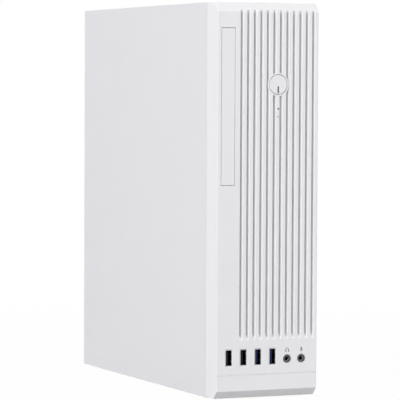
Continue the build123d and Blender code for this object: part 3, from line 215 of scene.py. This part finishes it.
# Materials
class Finish:
    """A material whose colour, roughness and bump follow textures on the piece's coordinates."""

    def __init__(self, name, color, roughness, metallic=0.0, specular=0.5):
        self.material = bpy.data.materials.new(name)
        self.material.use_nodes = True
        self.tree = self.material.node_tree
        self.shader = self.tree.nodes["Principled BSDF"]
        self.set("Base Color", (*color, 1.0))
        self.set("Roughness", roughness)
        self.set("Metallic", metallic)
        self.set("Specular IOR Level", specular)
        self.place = self.node("ShaderNodeTexCoord").outputs["Object"]

    def set(self, socket, value):
        """Set a value that is the same all over."""
        self.shader.inputs[socket].default_value = value

    def node(self, kind, **settings):
        made = self.tree.nodes.new(kind)
        for key, value in settings.items():
            setattr(made, key, value)
        return made

    def link(self, source, target):
        self.tree.links.new(source, target)

    def stretched(self, stretch):
        """The piece's coordinates, scaled on each axis."""
        mapping = self.node("ShaderNodeMapping")
        mapping.inputs["Scale"].default_value = stretch
        self.link(self.place, mapping.inputs["Vector"])
        return mapping.outputs["Vector"]

    def noise(self, per_metre, detail=2.0, stretch=(1, 1, 1)):
        """Noise value with about that many features per metre."""
        texture = self.node("ShaderNodeTexNoise")
        texture.inputs["Scale"].default_value = per_metre
        texture.inputs["Detail"].default_value = detail
        self.link(self.stretched(stretch), texture.inputs["Vector"])
        return texture.outputs["Fac"]

    def voronoi(self, per_metre):
        """Texture of about that many cells per metre."""
        texture = self.node("ShaderNodeTexVoronoi")
        texture.inputs["Scale"].default_value = per_metre
        self.link(self.place, texture.inputs["Vector"])
        return texture

    def cells(self, per_metre):
        """Random value per cell, for crystals and patches."""
        split = self.node("ShaderNodeSeparateColor")
        self.link(self.voronoi(per_metre).outputs["Color"], split.inputs["Color"])
        return split.outputs["Red"]

    def dots(self, per_metre, radius_in_cells):
        """One on a round dot in each cell, else zero."""
        distance = self.voronoi(per_metre).outputs["Distance"]
        return self.math("LESS_THAN", distance, radius_in_cells)

    def math(self, operation, *values):
        made = self.node("ShaderNodeMath", operation=operation)
        for socket, value in zip(made.inputs, values):
            if isinstance(value, (int, float)):
                socket.default_value = value
            else:
                self.link(value, socket)
        return made.outputs["Value"]

    def axis(self, name):
        split = self.node("ShaderNodeSeparateXYZ")
        self.link(self.place, split.inputs["Vector"])
        return split.outputs[name]

    def between(self, name, low, high):
        """One where the coordinate lies between two places, else zero."""
        value = self.axis(name)
        above = self.math("GREATER_THAN", value, low)
        below = self.math("LESS_THAN", value, high)
        return self.math("MULTIPLY", above, below)

    def blend_color(self, value, first, second):
        """Colour that runs from the first to the second with a value. Either may be a socket."""
        mix = self.node("ShaderNodeMix", data_type="RGBA")
        self.link(value, mix.inputs["Factor"])
        color_sockets = [socket for socket in mix.inputs if socket.type == "RGBA"]
        for socket, color in zip(color_sockets, (first, second)):
            if isinstance(color, tuple):
                socket.default_value = (*color, 1.0)
            else:
                self.link(color, socket)
        return next(socket for socket in mix.outputs if socket.type == "RGBA")

    def color(self, socket):
        self.link(socket, self.shader.inputs["Base Color"])

    def vary_roughness(self, value, low, high):
        spread = self.node("ShaderNodeMapRange")
        spread.inputs["To Min"].default_value = low
        spread.inputs["To Max"].default_value = high
        self.link(value, spread.inputs["Value"])
        self.link(spread.outputs["Result"], self.shader.inputs["Roughness"])

    def bump(self, value, height):
        """Surface relief of about that height."""
        made = self.node("ShaderNodeBump")
        made.inputs["Distance"].default_value = height
        self.link(value, made.inputs["Height"])
        self.link(made.outputs["Normal"], self.shader.inputs["Normal"])


def white_plastic():
    """Moulding of the bezel, with a fine satin grain."""
    finish = Finish("white_plastic", (0.835, 0.835, 0.852), 0.42)
    finish.color(finish.blend_color(finish.noise(45),
                                    (0.822, 0.822, 0.84), (0.845, 0.845, 0.862)))
    finish.vary_roughness(finish.noise(900), 0.38, 0.5)
    finish.bump(finish.noise(2600, detail=3), 0.02 * mm)
    return finish.material


def white_paint():
    """Powder paint on the steel of the case."""
    finish = Finish("white_paint", (0.77, 0.766, 0.793), 0.6, specular=0.25)
    finish.color(finish.blend_color(finish.noise(25),
                                    (0.758, 0.754, 0.783), (0.778, 0.775, 0.801)))
    finish.vary_roughness(finish.noise(400), 0.54, 0.68)
    finish.bump(finish.noise(1100), 0.03 * mm)
    return finish.material


def zinc_steel():
    """Galvanised sheet with small crystals and faint rolling lines."""
    finish = Finish("zinc_steel", (0.56, 0.57, 0.58), 0.38, metallic=1.0)
    crystals = finish.cells(420)
    finish.color(finish.blend_color(crystals, (0.52, 0.53, 0.54), (0.6, 0.61, 0.62)))
    finish.vary_roughness(crystals, 0.33, 0.43)
    finish.bump(finish.noise(1500, stretch=(1, 1, 0.06)), 0.01 * mm)
    return finish.material


def bright_metal(name, color, roughness):
    """Plated or turned metal of one colour."""
    finish = Finish(name, color, roughness, metallic=1.0)
    finish.vary_roughness(finish.noise(1200),
                          roughness - roughness_below, roughness + roughness_above)
    finish.bump(finish.noise(3000), 0.005 * mm)
    return finish.material


def moulded(name, dark, light, roughness=0.45, specular=0.5):
    """Dyed plastic with a fine moulded grain."""
    finish = Finish(name, light, roughness, specular=specular)
    finish.color(finish.blend_color(finish.noise(220), dark, light))
    finish.vary_roughness(finish.noise(1400),
                          roughness - roughness_below, roughness + roughness_above)
    finish.bump(finish.noise(3200, detail=3), 0.015 * mm)
    return finish.material


def smoked_lens():
    """Dark glossy plastic of the light bar."""
    finish = Finish("smoked_lens", (0.06, 0.06, 0.065), 0.16)
    finish.color(finish.blend_color(finish.noise(600),
                                    (0.045, 0.045, 0.05), (0.08, 0.08, 0.085)))
    finish.set("Coat Weight", 0.6)
    finish.bump(finish.noise(1500), 0.004 * mm)
    return finish.material


def circuit_board():
    """Green lacquer over tracks, level in some patches and upright in others, and tinned dots."""
    finish = Finish("circuit_board", board_green, 0.34)
    level = finish.noise(board_tracks_per_metre, detail=0, stretch=(1, board_track_stretch, 1))
    upright = finish.noise(board_tracks_per_metre, detail=0, stretch=(1, 1, board_track_stretch))
    patches = finish.math("GREATER_THAN", finish.cells(patches_per_metre), patch_threshold)
    runs = finish.math("MULTIPLY_ADD", patches, finish.math("SUBTRACT", upright, level), level)
    tracks = finish.math("GREATER_THAN", runs, track_threshold)
    lacquer = finish.blend_color(tracks, lacquer_dark, lacquer_light)
    tinned = finish.dots(dots_per_metre, dot_radius_in_cells)
    finish.color(finish.blend_color(tinned, lacquer, tin_color))
    finish.bump(tracks, board_track_relief)
    return finish.material


def memory_card():
    """Green cards with tracks along X and black chips on the front side of each."""
    finish = Finish("memory_card", board_green, 0.36)
    low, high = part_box("memory_modules")
    runs = finish.noise(card_tracks_per_metre, detail=0, stretch=(card_track_stretch, 1, 1))
    tracks = finish.math("GREATER_THAN", runs, track_threshold)
    lacquer = finish.blend_color(tracks, lacquer_dark, lacquer_light)
    rear_card = high.y - card_thickness
    rear_chips = finish.between("Y", rear_card - chip_height - band_margin, rear_card - chip_skin)
    front_chips = finish.between("Y", low.y - band_margin, low.y + chip_height - chip_skin)
    chips = finish.math("MAXIMUM", rear_chips, front_chips)
    finish.color(finish.blend_color(chips, lacquer, chip_color))
    finish.bump(tracks, card_track_relief)
    return finish.material


def extruded_aluminium(name, dark, light):
    """Bare or dyed aluminium with drawing lines along Y."""
    finish = Finish(name, light, 0.38, metallic=1.0)
    drawn = finish.noise(1400, stretch=(1, 0.04, 1))
    finish.color(finish.blend_color(drawn, dark, light))
    finish.vary_roughness(drawn, 0.3, 0.48)
    finish.bump(drawn, 0.012 * mm)
    return finish.material


def soft_rubber(name, dark, light):
    """Matt rubber or cable jacket."""
    finish = Finish(name, light, 0.7, specular=0.3)
    finish.color(finish.blend_color(finish.noise(350), dark, light))
    finish.vary_roughness(finish.noise(900), 0.62, 0.8)
    finish.bump(finish.noise(1800, detail=4), 0.03 * mm)
    return finish.material


def iron_powder():
    """Pressed powder of the coils."""
    finish = Finish("iron_powder", (0.2, 0.2, 0.2), 0.6, metallic=0.3)
    finish.color(finish.blend_color(finish.noise(1500, detail=4),
                                    (0.13, 0.13, 0.13), (0.25, 0.25, 0.25)))
    finish.bump(finish.noise(2500, detail=4), 0.03 * mm)
    return finish.material


def print_ink(name, dark, light):
    finish = Finish(name, light, 0.55)
    finish.color(finish.blend_color(finish.noise(1500), dark, light))
    finish.bump(finish.noise(4000, detail=3), 0.004 * mm)
    return finish.material


def usb_shell_with_painted_shade(name, rim_low, rim_high):
    """Plated sheet, bright at the mouth, with painted shade inside: dark colour where the socket's
    recess lies in shade.
    """
    finish = Finish(name, (0.7, 0.7, 0.71), 0.3, metallic=1.0)
    rim = finish.between("Y", rim_low, rim_high)
    # Painted shade: dark colour inside the socket that stands in for the shade of its recess.
    painted_shade = finish.blend_color(finish.noise(900), (0.035, 0.036, 0.045), (0.06, 0.061, 0.072))
    finish.color(finish.blend_color(rim, painted_shade, (0.72, 0.72, 0.73)))
    finish.vary_roughness(finish.noise(1200), 0.26, 0.42)
    finish.bump(finish.noise(3000), 0.005 * mm)
    return finish.material


def rear_audio_plastic():
    """Three sockets in their usual colours: line in, line out and microphone."""
    finish = Finish("rear_audio_plastic", (0.1, 0.3, 0.5), 0.42)
    grain = finish.noise(300)
    color = finish.blend_color(grain, (0.07, 0.26, 0.48), (0.1, 0.33, 0.56))
    half_pitch = abs(sockets["rear_audio_1"].x - sockets["rear_audio_2"].x) / 2
    for name, dark, light in (("rear_audio_2", (0.12, 0.4, 0.08), (0.17, 0.5, 0.12)),
                              ("rear_audio_3", (0.6, 0.17, 0.26), (0.7, 0.24, 0.33))):
        x = sockets[name].x
        color = finish.blend_color(finish.between("X", x - half_pitch, x + half_pitch), color,
                                   finish.blend_color(grain, dark, light))
    finish.color(color)
    finish.vary_roughness(finish.noise(1400), 0.36, 0.5)
    finish.bump(finish.noise(3200, detail=3), 0.015 * mm)
    return finish.material


def status_lens():
    """Smoked upper light and a milky lower light."""
    low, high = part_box("status_light_pipes")
    finish = Finish("status_lens", (0.3, 0.3, 0.31), 0.2)
    grain = finish.noise(700)
    milky = finish.blend_color(grain, (0.5, 0.5, 0.52), (0.6, 0.6, 0.62))
    smoked = finish.blend_color(grain, (0.07, 0.07, 0.075), (0.11, 0.11, 0.115))
    upper = finish.between("Z", (low.z + high.z) / 2, high.z + band_margin)
    finish.color(finish.blend_color(upper, milky, smoked))
    finish.set("Coat Weight", 0.5)
    finish.bump(finish.noise(1500), 0.004 * mm)
    return finish.material


# Finishes by material slot, and those of nodes that have their own
FINISHES = {
    "white_paint": white_paint(),
    "white_plastic": white_plastic(),
    "zinc_steel": zinc_steel(),
    "screw_steel": bright_metal("screw_steel", (0.62, 0.62, 0.63), 0.3),
    "thumbscrew_metal": bright_metal("thumbscrew_metal", (0.55, 0.55, 0.56), 0.26),
    "socket_metal": bright_metal("socket_metal", (0.74, 0.74, 0.75), 0.24),
    "black_plastic": moulded("black_plastic", (0.014, 0.014, 0.016), (0.026, 0.026, 0.028)),
    "blue_plastic": moulded("blue_plastic", (0.01, 0.017, 0.062), (0.015, 0.024, 0.085),
                            specular=0.15),
    "white_latch": moulded("white_latch", (0.68, 0.68, 0.64), (0.76, 0.76, 0.72)),
    "smoked_lens": smoked_lens(),
    "circuit_board": circuit_board(),
    "heat_sink": extruded_aluminium("heat_sink", (0.58, 0.59, 0.6), (0.76, 0.77, 0.78)),
    "standoff_brass": bright_metal("standoff_brass", (0.72, 0.52, 0.22), 0.3),
    "coil_grey": iron_powder(),
    "drive_case": extruded_aluminium("drive_case", (0.07, 0.07, 0.075), (0.12, 0.12, 0.125)),
    "cable_jacket": soft_rubber("cable_jacket", (0.018, 0.018, 0.018), (0.035, 0.035, 0.035)),
    "foot_rubber": soft_rubber("foot_rubber", (0.03, 0.03, 0.03), (0.055, 0.055, 0.055)),
}
TONGUE = moulded("tongue_plastic", (0.006, 0.006, 0.012), (0.01, 0.01, 0.019), specular=0.1)
NODE_FINISHES = {
    # USB shells: plain metal at the mouth, painted shade further in.
    "front_usb_sockets": usb_shell_with_painted_shade("front_usb_metal_painted_shade", usb_low.y - band_margin,
                                         usb_low.y + usb_rim),
    "rear_usb_sockets": usb_shell_with_painted_shade("rear_usb_metal_painted_shade", rear_usb_high.y - usb_rim,
                                        rear_usb_high.y + band_margin),
    "front_usb_tongues_black": TONGUE,
    "headphone_jack": TONGUE,
    "microphone_jack": TONGUE,
    "rear_audio_jacks": rear_audio_plastic(),
    "status_light_pipes": status_lens(),
    "memory_modules": memory_card(),
}

# Finishes of the pieces that are added here
JACK = moulded("jack_plastic", (0.078, 0.078, 0.09), (0.118, 0.118, 0.134),
               roughness=0.36, specular=0.3)
INK = print_ink("print_ink", (0.16, 0.16, 0.17), (0.23, 0.23, 0.24))
WHITE_INK = print_ink("white_ink", (0.72, 0.72, 0.72), (0.82, 0.82, 0.82))
GOLD = bright_metal("contact_gold", (0.72, 0.52, 0.2), 0.26)
NICKEL = bright_metal("contact_nickel", (0.66, 0.65, 0.63), 0.28)
# Painted shade: nickel darkened to stand in for the shade on the spring leaves inside the front
# sockets.
PAINTED_SHADE_NICKEL = bright_metal("painted_shade_nickel", (0.13, 0.13, 0.14), 0.4)
GREEN_LAMP = moulded("green_lamp", (0.1, 0.32, 0.1), (0.16, 0.42, 0.15), roughness=0.2)
AMBER_LAMP = moulded("amber_lamp", (0.5, 0.26, 0.05), (0.62, 0.34, 0.08), roughness=0.2)


def dress_nodes():
    """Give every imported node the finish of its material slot, or one of its own."""
    for row in frame["record"]["subparts"]:
        materials = frame["nodes"][row["node"]].data.materials
        materials.clear()
        materials.append(NODE_FINISHES.get(row["node"], FINISHES[row["material_slot"]]))


# Outlines and small solids
def arc(middle, radius, start, stop):
    """Points on a circle in a flat sign, angles in degrees from the right."""
    turns = [math.radians(start + (stop - start) * i / arc_steps) for i in range(arc_steps + 1)]
    return [(middle[0] + radius * math.cos(turn), middle[1] + radius * math.sin(turn))
            for turn in turns]


def band(middle, radius, start, stop, stroke):
    """Curved stroke of even width."""
    outer = arc(middle, radius + stroke / 2, start, stop)
    return outer + arc(middle, radius - stroke / 2, stop, start)


def pill(middle, width, height):
    """Upright shape with round ends."""
    radius = width / 2
    rise = height / 2 - radius
    upper = arc((middle[0], middle[1] + rise), radius, 0, 180)
    return upper + arc((middle[0], middle[1] - rise), radius, 180, 360)


def bar(middle, width, height):
    """Upright rectangle."""
    x, z = middle
    return [(x - width / 2, z - height / 2), (x + width / 2, z - height / 2),
            (x + width / 2, z + height / 2), (x - width / 2, z + height / 2)]


def row_places(middle, count, pitch):
    """Evenly spaced places about a middle."""
    return [middle + (i - (count - 1) / 2) * pitch for i in range(count)]


class Build:
    """A piece gathered from small solids, then placed on a body of the frame."""

    def __init__(self, name, origin=(0, 0, 0), across=(1, 0, 0), up=(0, 0, 1)):
        self.name = name
        self.mesh = bmesh.new()
        self.aim(origin, across, up)

    def aim(self, origin, across, up):
        """Set where the next outlines lie. They stand out along across x up."""
        self.origin = Vector(origin)
        self.across = Vector(across)
        self.up = Vector(up)
        self.out = self.across.cross(self.up)

    def corner(self, u, v, w):
        """Mesh corner at a place given across, up and out."""
        place = self.origin + u * self.across + v * self.up + w * self.out
        return self.mesh.verts.new(place)

    def walls(self, ring, after):
        """Faces between two rings of corners."""
        for i in range(len(ring)):
            j = (i + 1) % len(ring)
            self.mesh.faces.new((ring[i], ring[j], after[j], after[i]))

    def skin(self, rings):
        """Closed solid through a row of rings of corners."""
        self.mesh.faces.new(rings[0][::-1])
        self.mesh.faces.new(rings[-1])
        for ring, after in zip(rings, rings[1:]):
            self.walls(ring, after)

    def prism(self, outline, low, high, taper=0.0):
        """Closed prism on an outline, from one height to another, drawn in near its far end."""
        middle = sum((Vector(place) for place in outline), Vector((0, 0))) / len(outline)
        levels = [(low, 0), (high, 0)]
        if taper:
            levels = [(low, 0), (high - taper, 0), (high, taper)]
        rings = []
        for height, pull in levels:
            ring = []
            for place in outline:
                arm = Vector(place) - middle
                u, v = middle + arm * (1 - pull / arm.length)
                ring.append(self.corner(u, v, height))
            rings.append(ring)
        self.skin(rings)

    def lathe(self, profile):
        """Ring turned about the out direction from a closed profile of (radius, height) points."""
        rings = []
        for i in range(turn_steps):
            turn = 2 * math.pi * i / turn_steps
            rings.append([self.corner(radius * math.cos(turn), radius * math.sin(turn), height)
                          for radius, height in profile])
        for i, ring in enumerate(rings):
            self.walls(ring, rings[(i + 1) % turn_steps])

    def ribbon(self, path, width, sheet):
        """Bent strip of even thickness: path points are (v, w), its width runs across."""
        rings = []
        for i, (v, w) in enumerate(path):
            before = path[max(i - 1, 0)]
            after = path[min(i + 1, len(path) - 1)]
            run = Vector((after[0] - before[0], after[1] - before[1])).normalized()
            far_v = v - run.y * sheet
            far_w = w + run.x * sheet
            rings.append([self.corner(-width / 2, v, w), self.corner(width / 2, v, w),
                          self.corner(width / 2, far_v, far_w),
                          self.corner(-width / 2, far_v, far_w)])
        self.skin(rings)

    def finish(self, body, slot, material, smooth=False):
        """Turn the gathered solids into one piece that rides on a body."""
        bmesh.ops.recalc_face_normals(self.mesh, faces=self.mesh.faces[:])
        data = bpy.data.meshes.new(self.name)
        self.mesh.to_mesh(data)
        self.mesh.free()
        for polygon in data.polygons:
            polygon.use_smooth = smooth
        piece = bpy.data.objects.new(self.name, data)
        bpy.context.scene.collection.objects.link(piece)
        data.materials.append(material)
        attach(piece, body)


# Printed signs on the front and on the mains switch
def print_sign(name, outlines):
    """Ink shapes on the face of the bezel."""
    build = Build(name, origin=(0, face_y, 0))
    for outline in outlines:
        build.prism(outline, -print_sink, print_lift)
    build.finish("case", "black_plastic", INK)


def headphone_sign():
    """Head band with two ear pads, above the headphone socket."""
    x = sockets["headphone_socket"].x
    low = sockets["headphone_socket"].z + headphone_lift - headphone_height / 2
    radius = (headphone_width - ear_pad_width) / 2
    shoulder = low + headphone_height - sign_stroke / 2 - radius
    leg = shoulder - low - ear_pad_height / 2
    outlines = [band((x, shoulder), radius, 0, 180, sign_stroke)]
    for ear_x in (x - radius, x + radius):
        outlines.append(bar((ear_x, shoulder - leg / 2), sign_stroke, leg))
        outlines.append(pill((ear_x, low + ear_pad_height / 2), ear_pad_width, ear_pad_height))
    print_sign("headphone_sign", outlines)


def microphone_sign():
    """Capsule in a cradle on a foot, above the microphone socket."""
    x = sockets["microphone_socket"].x
    low = sockets["microphone_socket"].z + microphone_lift - microphone_height / 2
    capsule_z = low + microphone_height - capsule_height / 2
    cradle_z = capsule_z - capsule_height / 4
    radius = cradle_width / 2 - sign_stroke / 4
    stem_top = cradle_z - radius
    print_sign("microphone_sign", [
        pill((x, capsule_z), capsule_width, capsule_height),
        band((x, cradle_z), radius, 180, 360, sign_stroke / 2),
        bar((x, (low + stem_top) / 2), sign_stroke, stem_top - low),
        bar((x, low + sign_stroke / 2), microphone_foot_width, sign_stroke),
    ])


def switch_marks():
    """Bar and ring on the two faces of the mains switch, at its tilt when at rest."""
    pivot = Vector(joints["psu_rocker_rock"]["pos_m"])
    turn = Matrix.Rotation(-switch_tilt, 3, "Z")
    rise = switch_crown * switch_mark_reach / switch_half_length - switch_crown / 2
    line = [bar((0, 0), sign_stroke, switch_mark_height)]
    ring = [band((0, 0), switch_mark_height / 2, start, start + 180, sign_stroke)
            for start in (0, 180)]
    build = Build("switch_marks")
    for side, outlines in ((-1, ring), (1, line)):
        slope = Vector((side * switch_half_length, switch_crown, 0)).normalized()
        middle = Vector((side * switch_mark_reach, switch_face + rise, 0))
        build.aim(pivot + turn @ middle, turn @ (-side * slope), (0, 0, 1))
        for outline in outlines:
            build.prism(outline, -print_sink, print_lift)
    build.finish("psu_rocker", "black_plastic", WHITE_INK)


# Collars and contacts in the audio and USB sockets
def jack_collar(name):
    """Dished grey ring round an audio socket, from the bezel face in to the bore."""
    middle = sockets[f"{name}_socket"]
    inner = jack_bore + sleeve_sheet
    build = Build(f"{name}_collar", origin=(middle.x, face_y + collar_recess, middle.z))
    build.lathe([(inner, 0),
                 (inner, collar_rim / 3),
                 (collar_radius - collar_rim, collar_recess - collar_rim / 4),
                 (collar_radius - collar_rim / 3, collar_recess),
                 (collar_radius, collar_recess - collar_rim / 3),
                 (collar_radius, 0)])
    build.finish("case", "black_plastic", JACK)


def jack_sleeve(name):
    """Metal sleeve contact just inside an audio socket, flared at its mouth."""
    middle = sockets[f"{name}_socket"]
    inner = jack_bore - sleeve_sheet
    build = Build(f"{name}_sleeve", origin=(middle.x, face_y + collar_recess, middle.z))
    build.lathe([(jack_bore, -sleeve_start), (inner, -sleeve_start - sleeve_sheet),
                 (inner, -sleeve_length), (jack_bore, -sleeve_length)])
    build.finish("case", "socket_metal", NICKEL, smooth=True)


def usb_leaves(name, xs, zs, mouth, inward, wall, material):
    """Two spring leaves on one inner wall of each shell, bowed into the socket and back.

    inward is the direction into the socket along Y, wall is +1 for the +X wall, else -1.
    """
    shares = [i / arc_steps for i in range(arc_steps + 1)]
    path = [(leaf_start + share * leaf_length, leaf_rise * math.sin(math.pi * share))
            for share in shares]
    build = Build(name)
    for x in xs:
        face = x + wall * (usb_width / 2 - usb_shell)
        for z in zs:
            for leaf_z in (z - leaf_pitch / 2, z + leaf_pitch / 2):
                build.aim((face, mouth, leaf_z), (0, 0, wall * inward), (0, inward, 0))
                build.ribbon(path, leaf_width, leaf_sheet)
    build.finish("case", "socket_metal", material, smooth=True)


def usb_strips(name, xs, zs, mouth, inward, wall):
    """Four notched contact strips on the side of each tongue that faces the leaves."""
    outline = [(-strip_width / 2, strip_width / 2), (0, strip_width / 4),
               (strip_width / 2, strip_width / 2), (strip_width / 2, strip_length),
               (-strip_width / 2, strip_length)]
    tip = mouth + inward * tongue_tip_depth
    build = Build(name)
    for x in xs:
        near = x - wall * (usb_width / 2 - usb_shell - tongue_offset)
        face = near + wall * tongue_thickness
        for z in zs:
            for strip_z in row_places(z, strip_count, strip_pitch):
                build.aim((face, tip, strip_z), (0, 0, -wall * inward), (0, inward, 0))
                build.prism(outline, -strip_thickness, strip_thickness)
    build.finish("case", "socket_metal", GOLD)


# Contacts, lamps and pins at the rear
def network_wires():
    """Eight sprung wires that slope down into the network socket."""
    low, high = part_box("network_socket")
    middle = (low + high) / 2
    wall = middle.x - network_mouth_height / 2
    build = Build("network_wires")
    for z in row_places(middle.z, wire_count, wire_pitch):
        build.aim((wall, high.y - network_mouth_depth, z), (0, 0, -1), (0, 1, 0))
        build.ribbon(wire_path, 2 * wire_radius, wire_radius)
    build.finish("case", "socket_metal", GOLD, smooth=True)


def network_lamps():
    """Two small lamp windows in the face of the network socket."""
    low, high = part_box("network_socket")
    x = high.x - (high.x - low.x - network_mouth_height) / 4
    reach = (high.z - low.z) / 3
    outline = pill((0, 0), network_lamp_height, network_lamp_width)
    for side, name, material in ((-1, "link_lamp", GREEN_LAMP), (1, "traffic_lamp", AMBER_LAMP)):
        z = (low.z + high.z) / 2 + side * reach
        build = Build(name, origin=(x, high.y, z), across=(-1, 0, 0))
        build.prism(outline, -print_sink, network_lamp_proud, taper=network_lamp_proud)
        build.finish("case", "smoked_lens", material)


def video_strips():
    """Pointed contact strips on both sides of the tongue in the video socket."""
    low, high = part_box("video_socket")
    middle = (low + high) / 2
    half_width = video_strip_width / 2
    shoulder = video_strip_length - video_strip_point
    outline = [(-half_width, 0), (half_width, 0), (half_width, shoulder),
               (0, video_strip_length), (-half_width, shoulder)]
    build = Build("video_strips")
    for side, count in ((-1, video_left_strips), (1, video_right_strips)):
        face = middle.x + side * video_tongue_thickness / 2
        for z in row_places(middle.z, count, video_strip_pitch):
            build.aim((face, high.y - video_mouth_depth, z), (0, 0, -side), (0, 1, 0))
            build.prism(outline, -strip_thickness, strip_thickness)
    build.finish("case", "socket_metal", GOLD)


def mains_pins():
    """Bare metal blades over the three pins of the mains inlet, with tapered tips."""
    low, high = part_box("mains_inlet")
    middle = (low + high) / 2
    root = high.y - inlet_depth
    tip = high.y - pin_inset + pin_skin
    outline = bar((0, 0), pin_width + 2 * pin_skin, pin_height + 2 * pin_skin)
    build = Build("mains_pins")
    for column, rise in ((-1, -1), (0, 1), (1, -1)):
        place = (middle.x + column * pin_pitch, root, middle.z + rise * pin_offset)
        build.aim(place, (-1, 0, 0), (0, 0, 1))
        build.prism(outline, 0, tip - root, taper=pin_taper)
    build.finish("case", "socket_metal", NICKEL)


# Camera, light and floor
def place_camera():
    """Camera at the photograph's viewing angle."""
    forward = Vector((math.sin(camera_yaw) * math.cos(camera_pitch),
                      math.cos(camera_yaw) * math.cos(camera_pitch),
                      -math.sin(camera_pitch)))
    level = Vector((math.cos(camera_yaw), -math.sin(camera_yaw), 0))
    above = level.cross(forward)
    right = math.cos(camera_roll) * level + math.sin(camera_roll) * above
    up = math.cos(camera_roll) * above - math.sin(camera_roll) * level
    data = bpy.data.cameras.new("camera")
    data.sensor_width = sensor_width
    data.lens = focal_pixels / image_size * sensor_width
    camera = bpy.data.objects.new("camera", data)
    turn = Matrix((right, up, -forward)).transposed().to_4x4()
    camera.matrix_world = Matrix.Translation(camera_place) @ turn
    bpy.context.scene.collection.objects.link(camera)
    bpy.context.scene.camera = camera


def seen_directly(tree):
    """One for rays that show the background: camera, mirror and see-through rays."""
    path = tree.nodes.new("ShaderNodeLightPath")
    total = path.outputs["Is Camera Ray"]
    for name in ("Is Glossy Ray", "Is Transmission Ray"):
        largest = tree.nodes.new("ShaderNodeMath")
        largest.operation = "MAXIMUM"
        tree.links.new(total, largest.inputs[0])
        tree.links.new(path.outputs[name], largest.inputs[1])
        total = largest.outputs["Value"]
    return total


def light_world():
    """Soft light from all round, brighter above, in front of a white background."""
    world = bpy.data.worlds.new("studio")
    world.use_nodes = True
    bpy.context.scene.world = world
    tree = world.node_tree
    tree.nodes.clear()
    place = tree.nodes.new("ShaderNodeTexCoord")
    split = tree.nodes.new("ShaderNodeSeparateXYZ")
    tree.links.new(place.outputs["Generated"], split.inputs["Vector"])
    height = tree.nodes.new("ShaderNodeMapRange")
    height.inputs["From Min"].default_value = -1
    tree.links.new(split.outputs["Z"], height.inputs["Value"])
    ramp = tree.nodes.new("ShaderNodeValToRGB")
    ramp.color_ramp.elements.new(horizon)
    for element, level in zip(ramp.color_ramp.elements, (sky_low, sky_side, sky_top)):
        element.color = (level, level, level, 1)
    tree.links.new(height.outputs["Result"], ramp.inputs["Fac"])
    light = tree.nodes.new("ShaderNodeBackground")
    tree.links.new(ramp.outputs["Color"], light.inputs["Color"])
    backdrop = tree.nodes.new("ShaderNodeBackground")
    backdrop.inputs["Color"].default_value = white
    mix = tree.nodes.new("ShaderNodeMixShader")
    tree.links.new(seen_directly(tree), mix.inputs["Fac"])
    tree.links.new(light.outputs["Background"], mix.inputs[1])
    tree.links.new(backdrop.outputs["Background"], mix.inputs[2])
    output = tree.nodes.new("ShaderNodeOutputWorld")
    tree.links.new(mix.outputs["Shader"], output.inputs["Surface"])


def hang_lamp(name, place, target, size, power):
    """Square soft lamp that faces the target."""
    data = bpy.data.lights.new(name, "AREA")
    data.size = size
    data.energy = power
    lamp = bpy.data.objects.new(name, data)
    lamp.location = place
    lamp.rotation_euler = (target - place).to_track_quat("-Z", "Y").to_euler()
    bpy.context.scene.collection.objects.link(lamp)


def lay_floor():
    """Pale floor that looks white from the camera and keeps a faint shadow."""
    material = bpy.data.materials.new("floor")
    material.use_nodes = True
    tree = material.node_tree
    tree.nodes.clear()
    diffuse = tree.nodes.new("ShaderNodeBsdfDiffuse")
    diffuse.inputs["Color"].default_value = (*floor_grey, 1)
    glow = tree.nodes.new("ShaderNodeEmission")
    glow.inputs["Color"].default_value = white
    place = tree.nodes.new("ShaderNodeTexCoord")
    distance = tree.nodes.new("ShaderNodeVectorMath")
    distance.operation = "LENGTH"
    tree.links.new(place.outputs["Object"], distance.inputs[0])
    whiteness = tree.nodes.new("ShaderNodeMapRange")
    whiteness.inputs["From Min"].default_value = floor_near
    whiteness.inputs["From Max"].default_value = floor_far
    whiteness.inputs["To Min"].default_value = floor_white_near
    whiteness.inputs["To Max"].default_value = floor_white_far
    tree.links.new(distance.outputs["Value"], whiteness.inputs["Value"])
    share = tree.nodes.new("ShaderNodeMath")
    share.operation = "MULTIPLY"
    tree.links.new(seen_directly(tree), share.inputs[0])
    tree.links.new(whiteness.outputs["Result"], share.inputs[1])
    mix = tree.nodes.new("ShaderNodeMixShader")
    tree.links.new(share.outputs["Value"], mix.inputs["Fac"])
    tree.links.new(diffuse.outputs["BSDF"], mix.inputs[1])
    tree.links.new(glow.outputs["Emission"], mix.inputs[2])
    output = tree.nodes.new("ShaderNodeOutputMaterial")
    tree.links.new(mix.outputs["Shader"], output.inputs["Surface"])
    bpy.ops.mesh.primitive_plane_add(size=floor_size)
    floor = bpy.context.object
    floor.name = "floor"
    floor.data.materials.append(material)


dress_nodes()
headphone_sign()
microphone_sign()
switch_marks()
for socket in ("headphone", "microphone"):
    jack_collar(socket)
    jack_sleeve(socket)
# The front leaves get nickel with painted shade. The rear leaves keep plain nickel.
usb_leaves("front_usb_leaves", usb_xs, [usb_z], usb_low.y, 1, 1, PAINTED_SHADE_NICKEL)
usb_strips("front_usb_strips", usb_xs, [usb_z], usb_low.y, 1, 1)
usb_leaves("rear_usb_leaves", rear_usb_xs, rear_usb_zs, rear_usb_high.y, -1, -1, NICKEL)
usb_strips("rear_usb_strips", rear_usb_xs, rear_usb_zs, rear_usb_high.y, -1, -1)
network_wires()
network_lamps()
video_strips()
mains_pins()
place_camera()
light_world()
tower_middle = (cad_box[0] + cad_box[1]) / 2
hang_lamp("key", key_place, tower_middle, key_size, key_power)
hang_lamp("fill", fill_place, tower_middle, fill_size, fill_power)
hang_lamp("back", back_place, tower_middle, back_size, back_power)
lay_floor()
bpy.context.scene.view_settings.view_transform = "Standard"
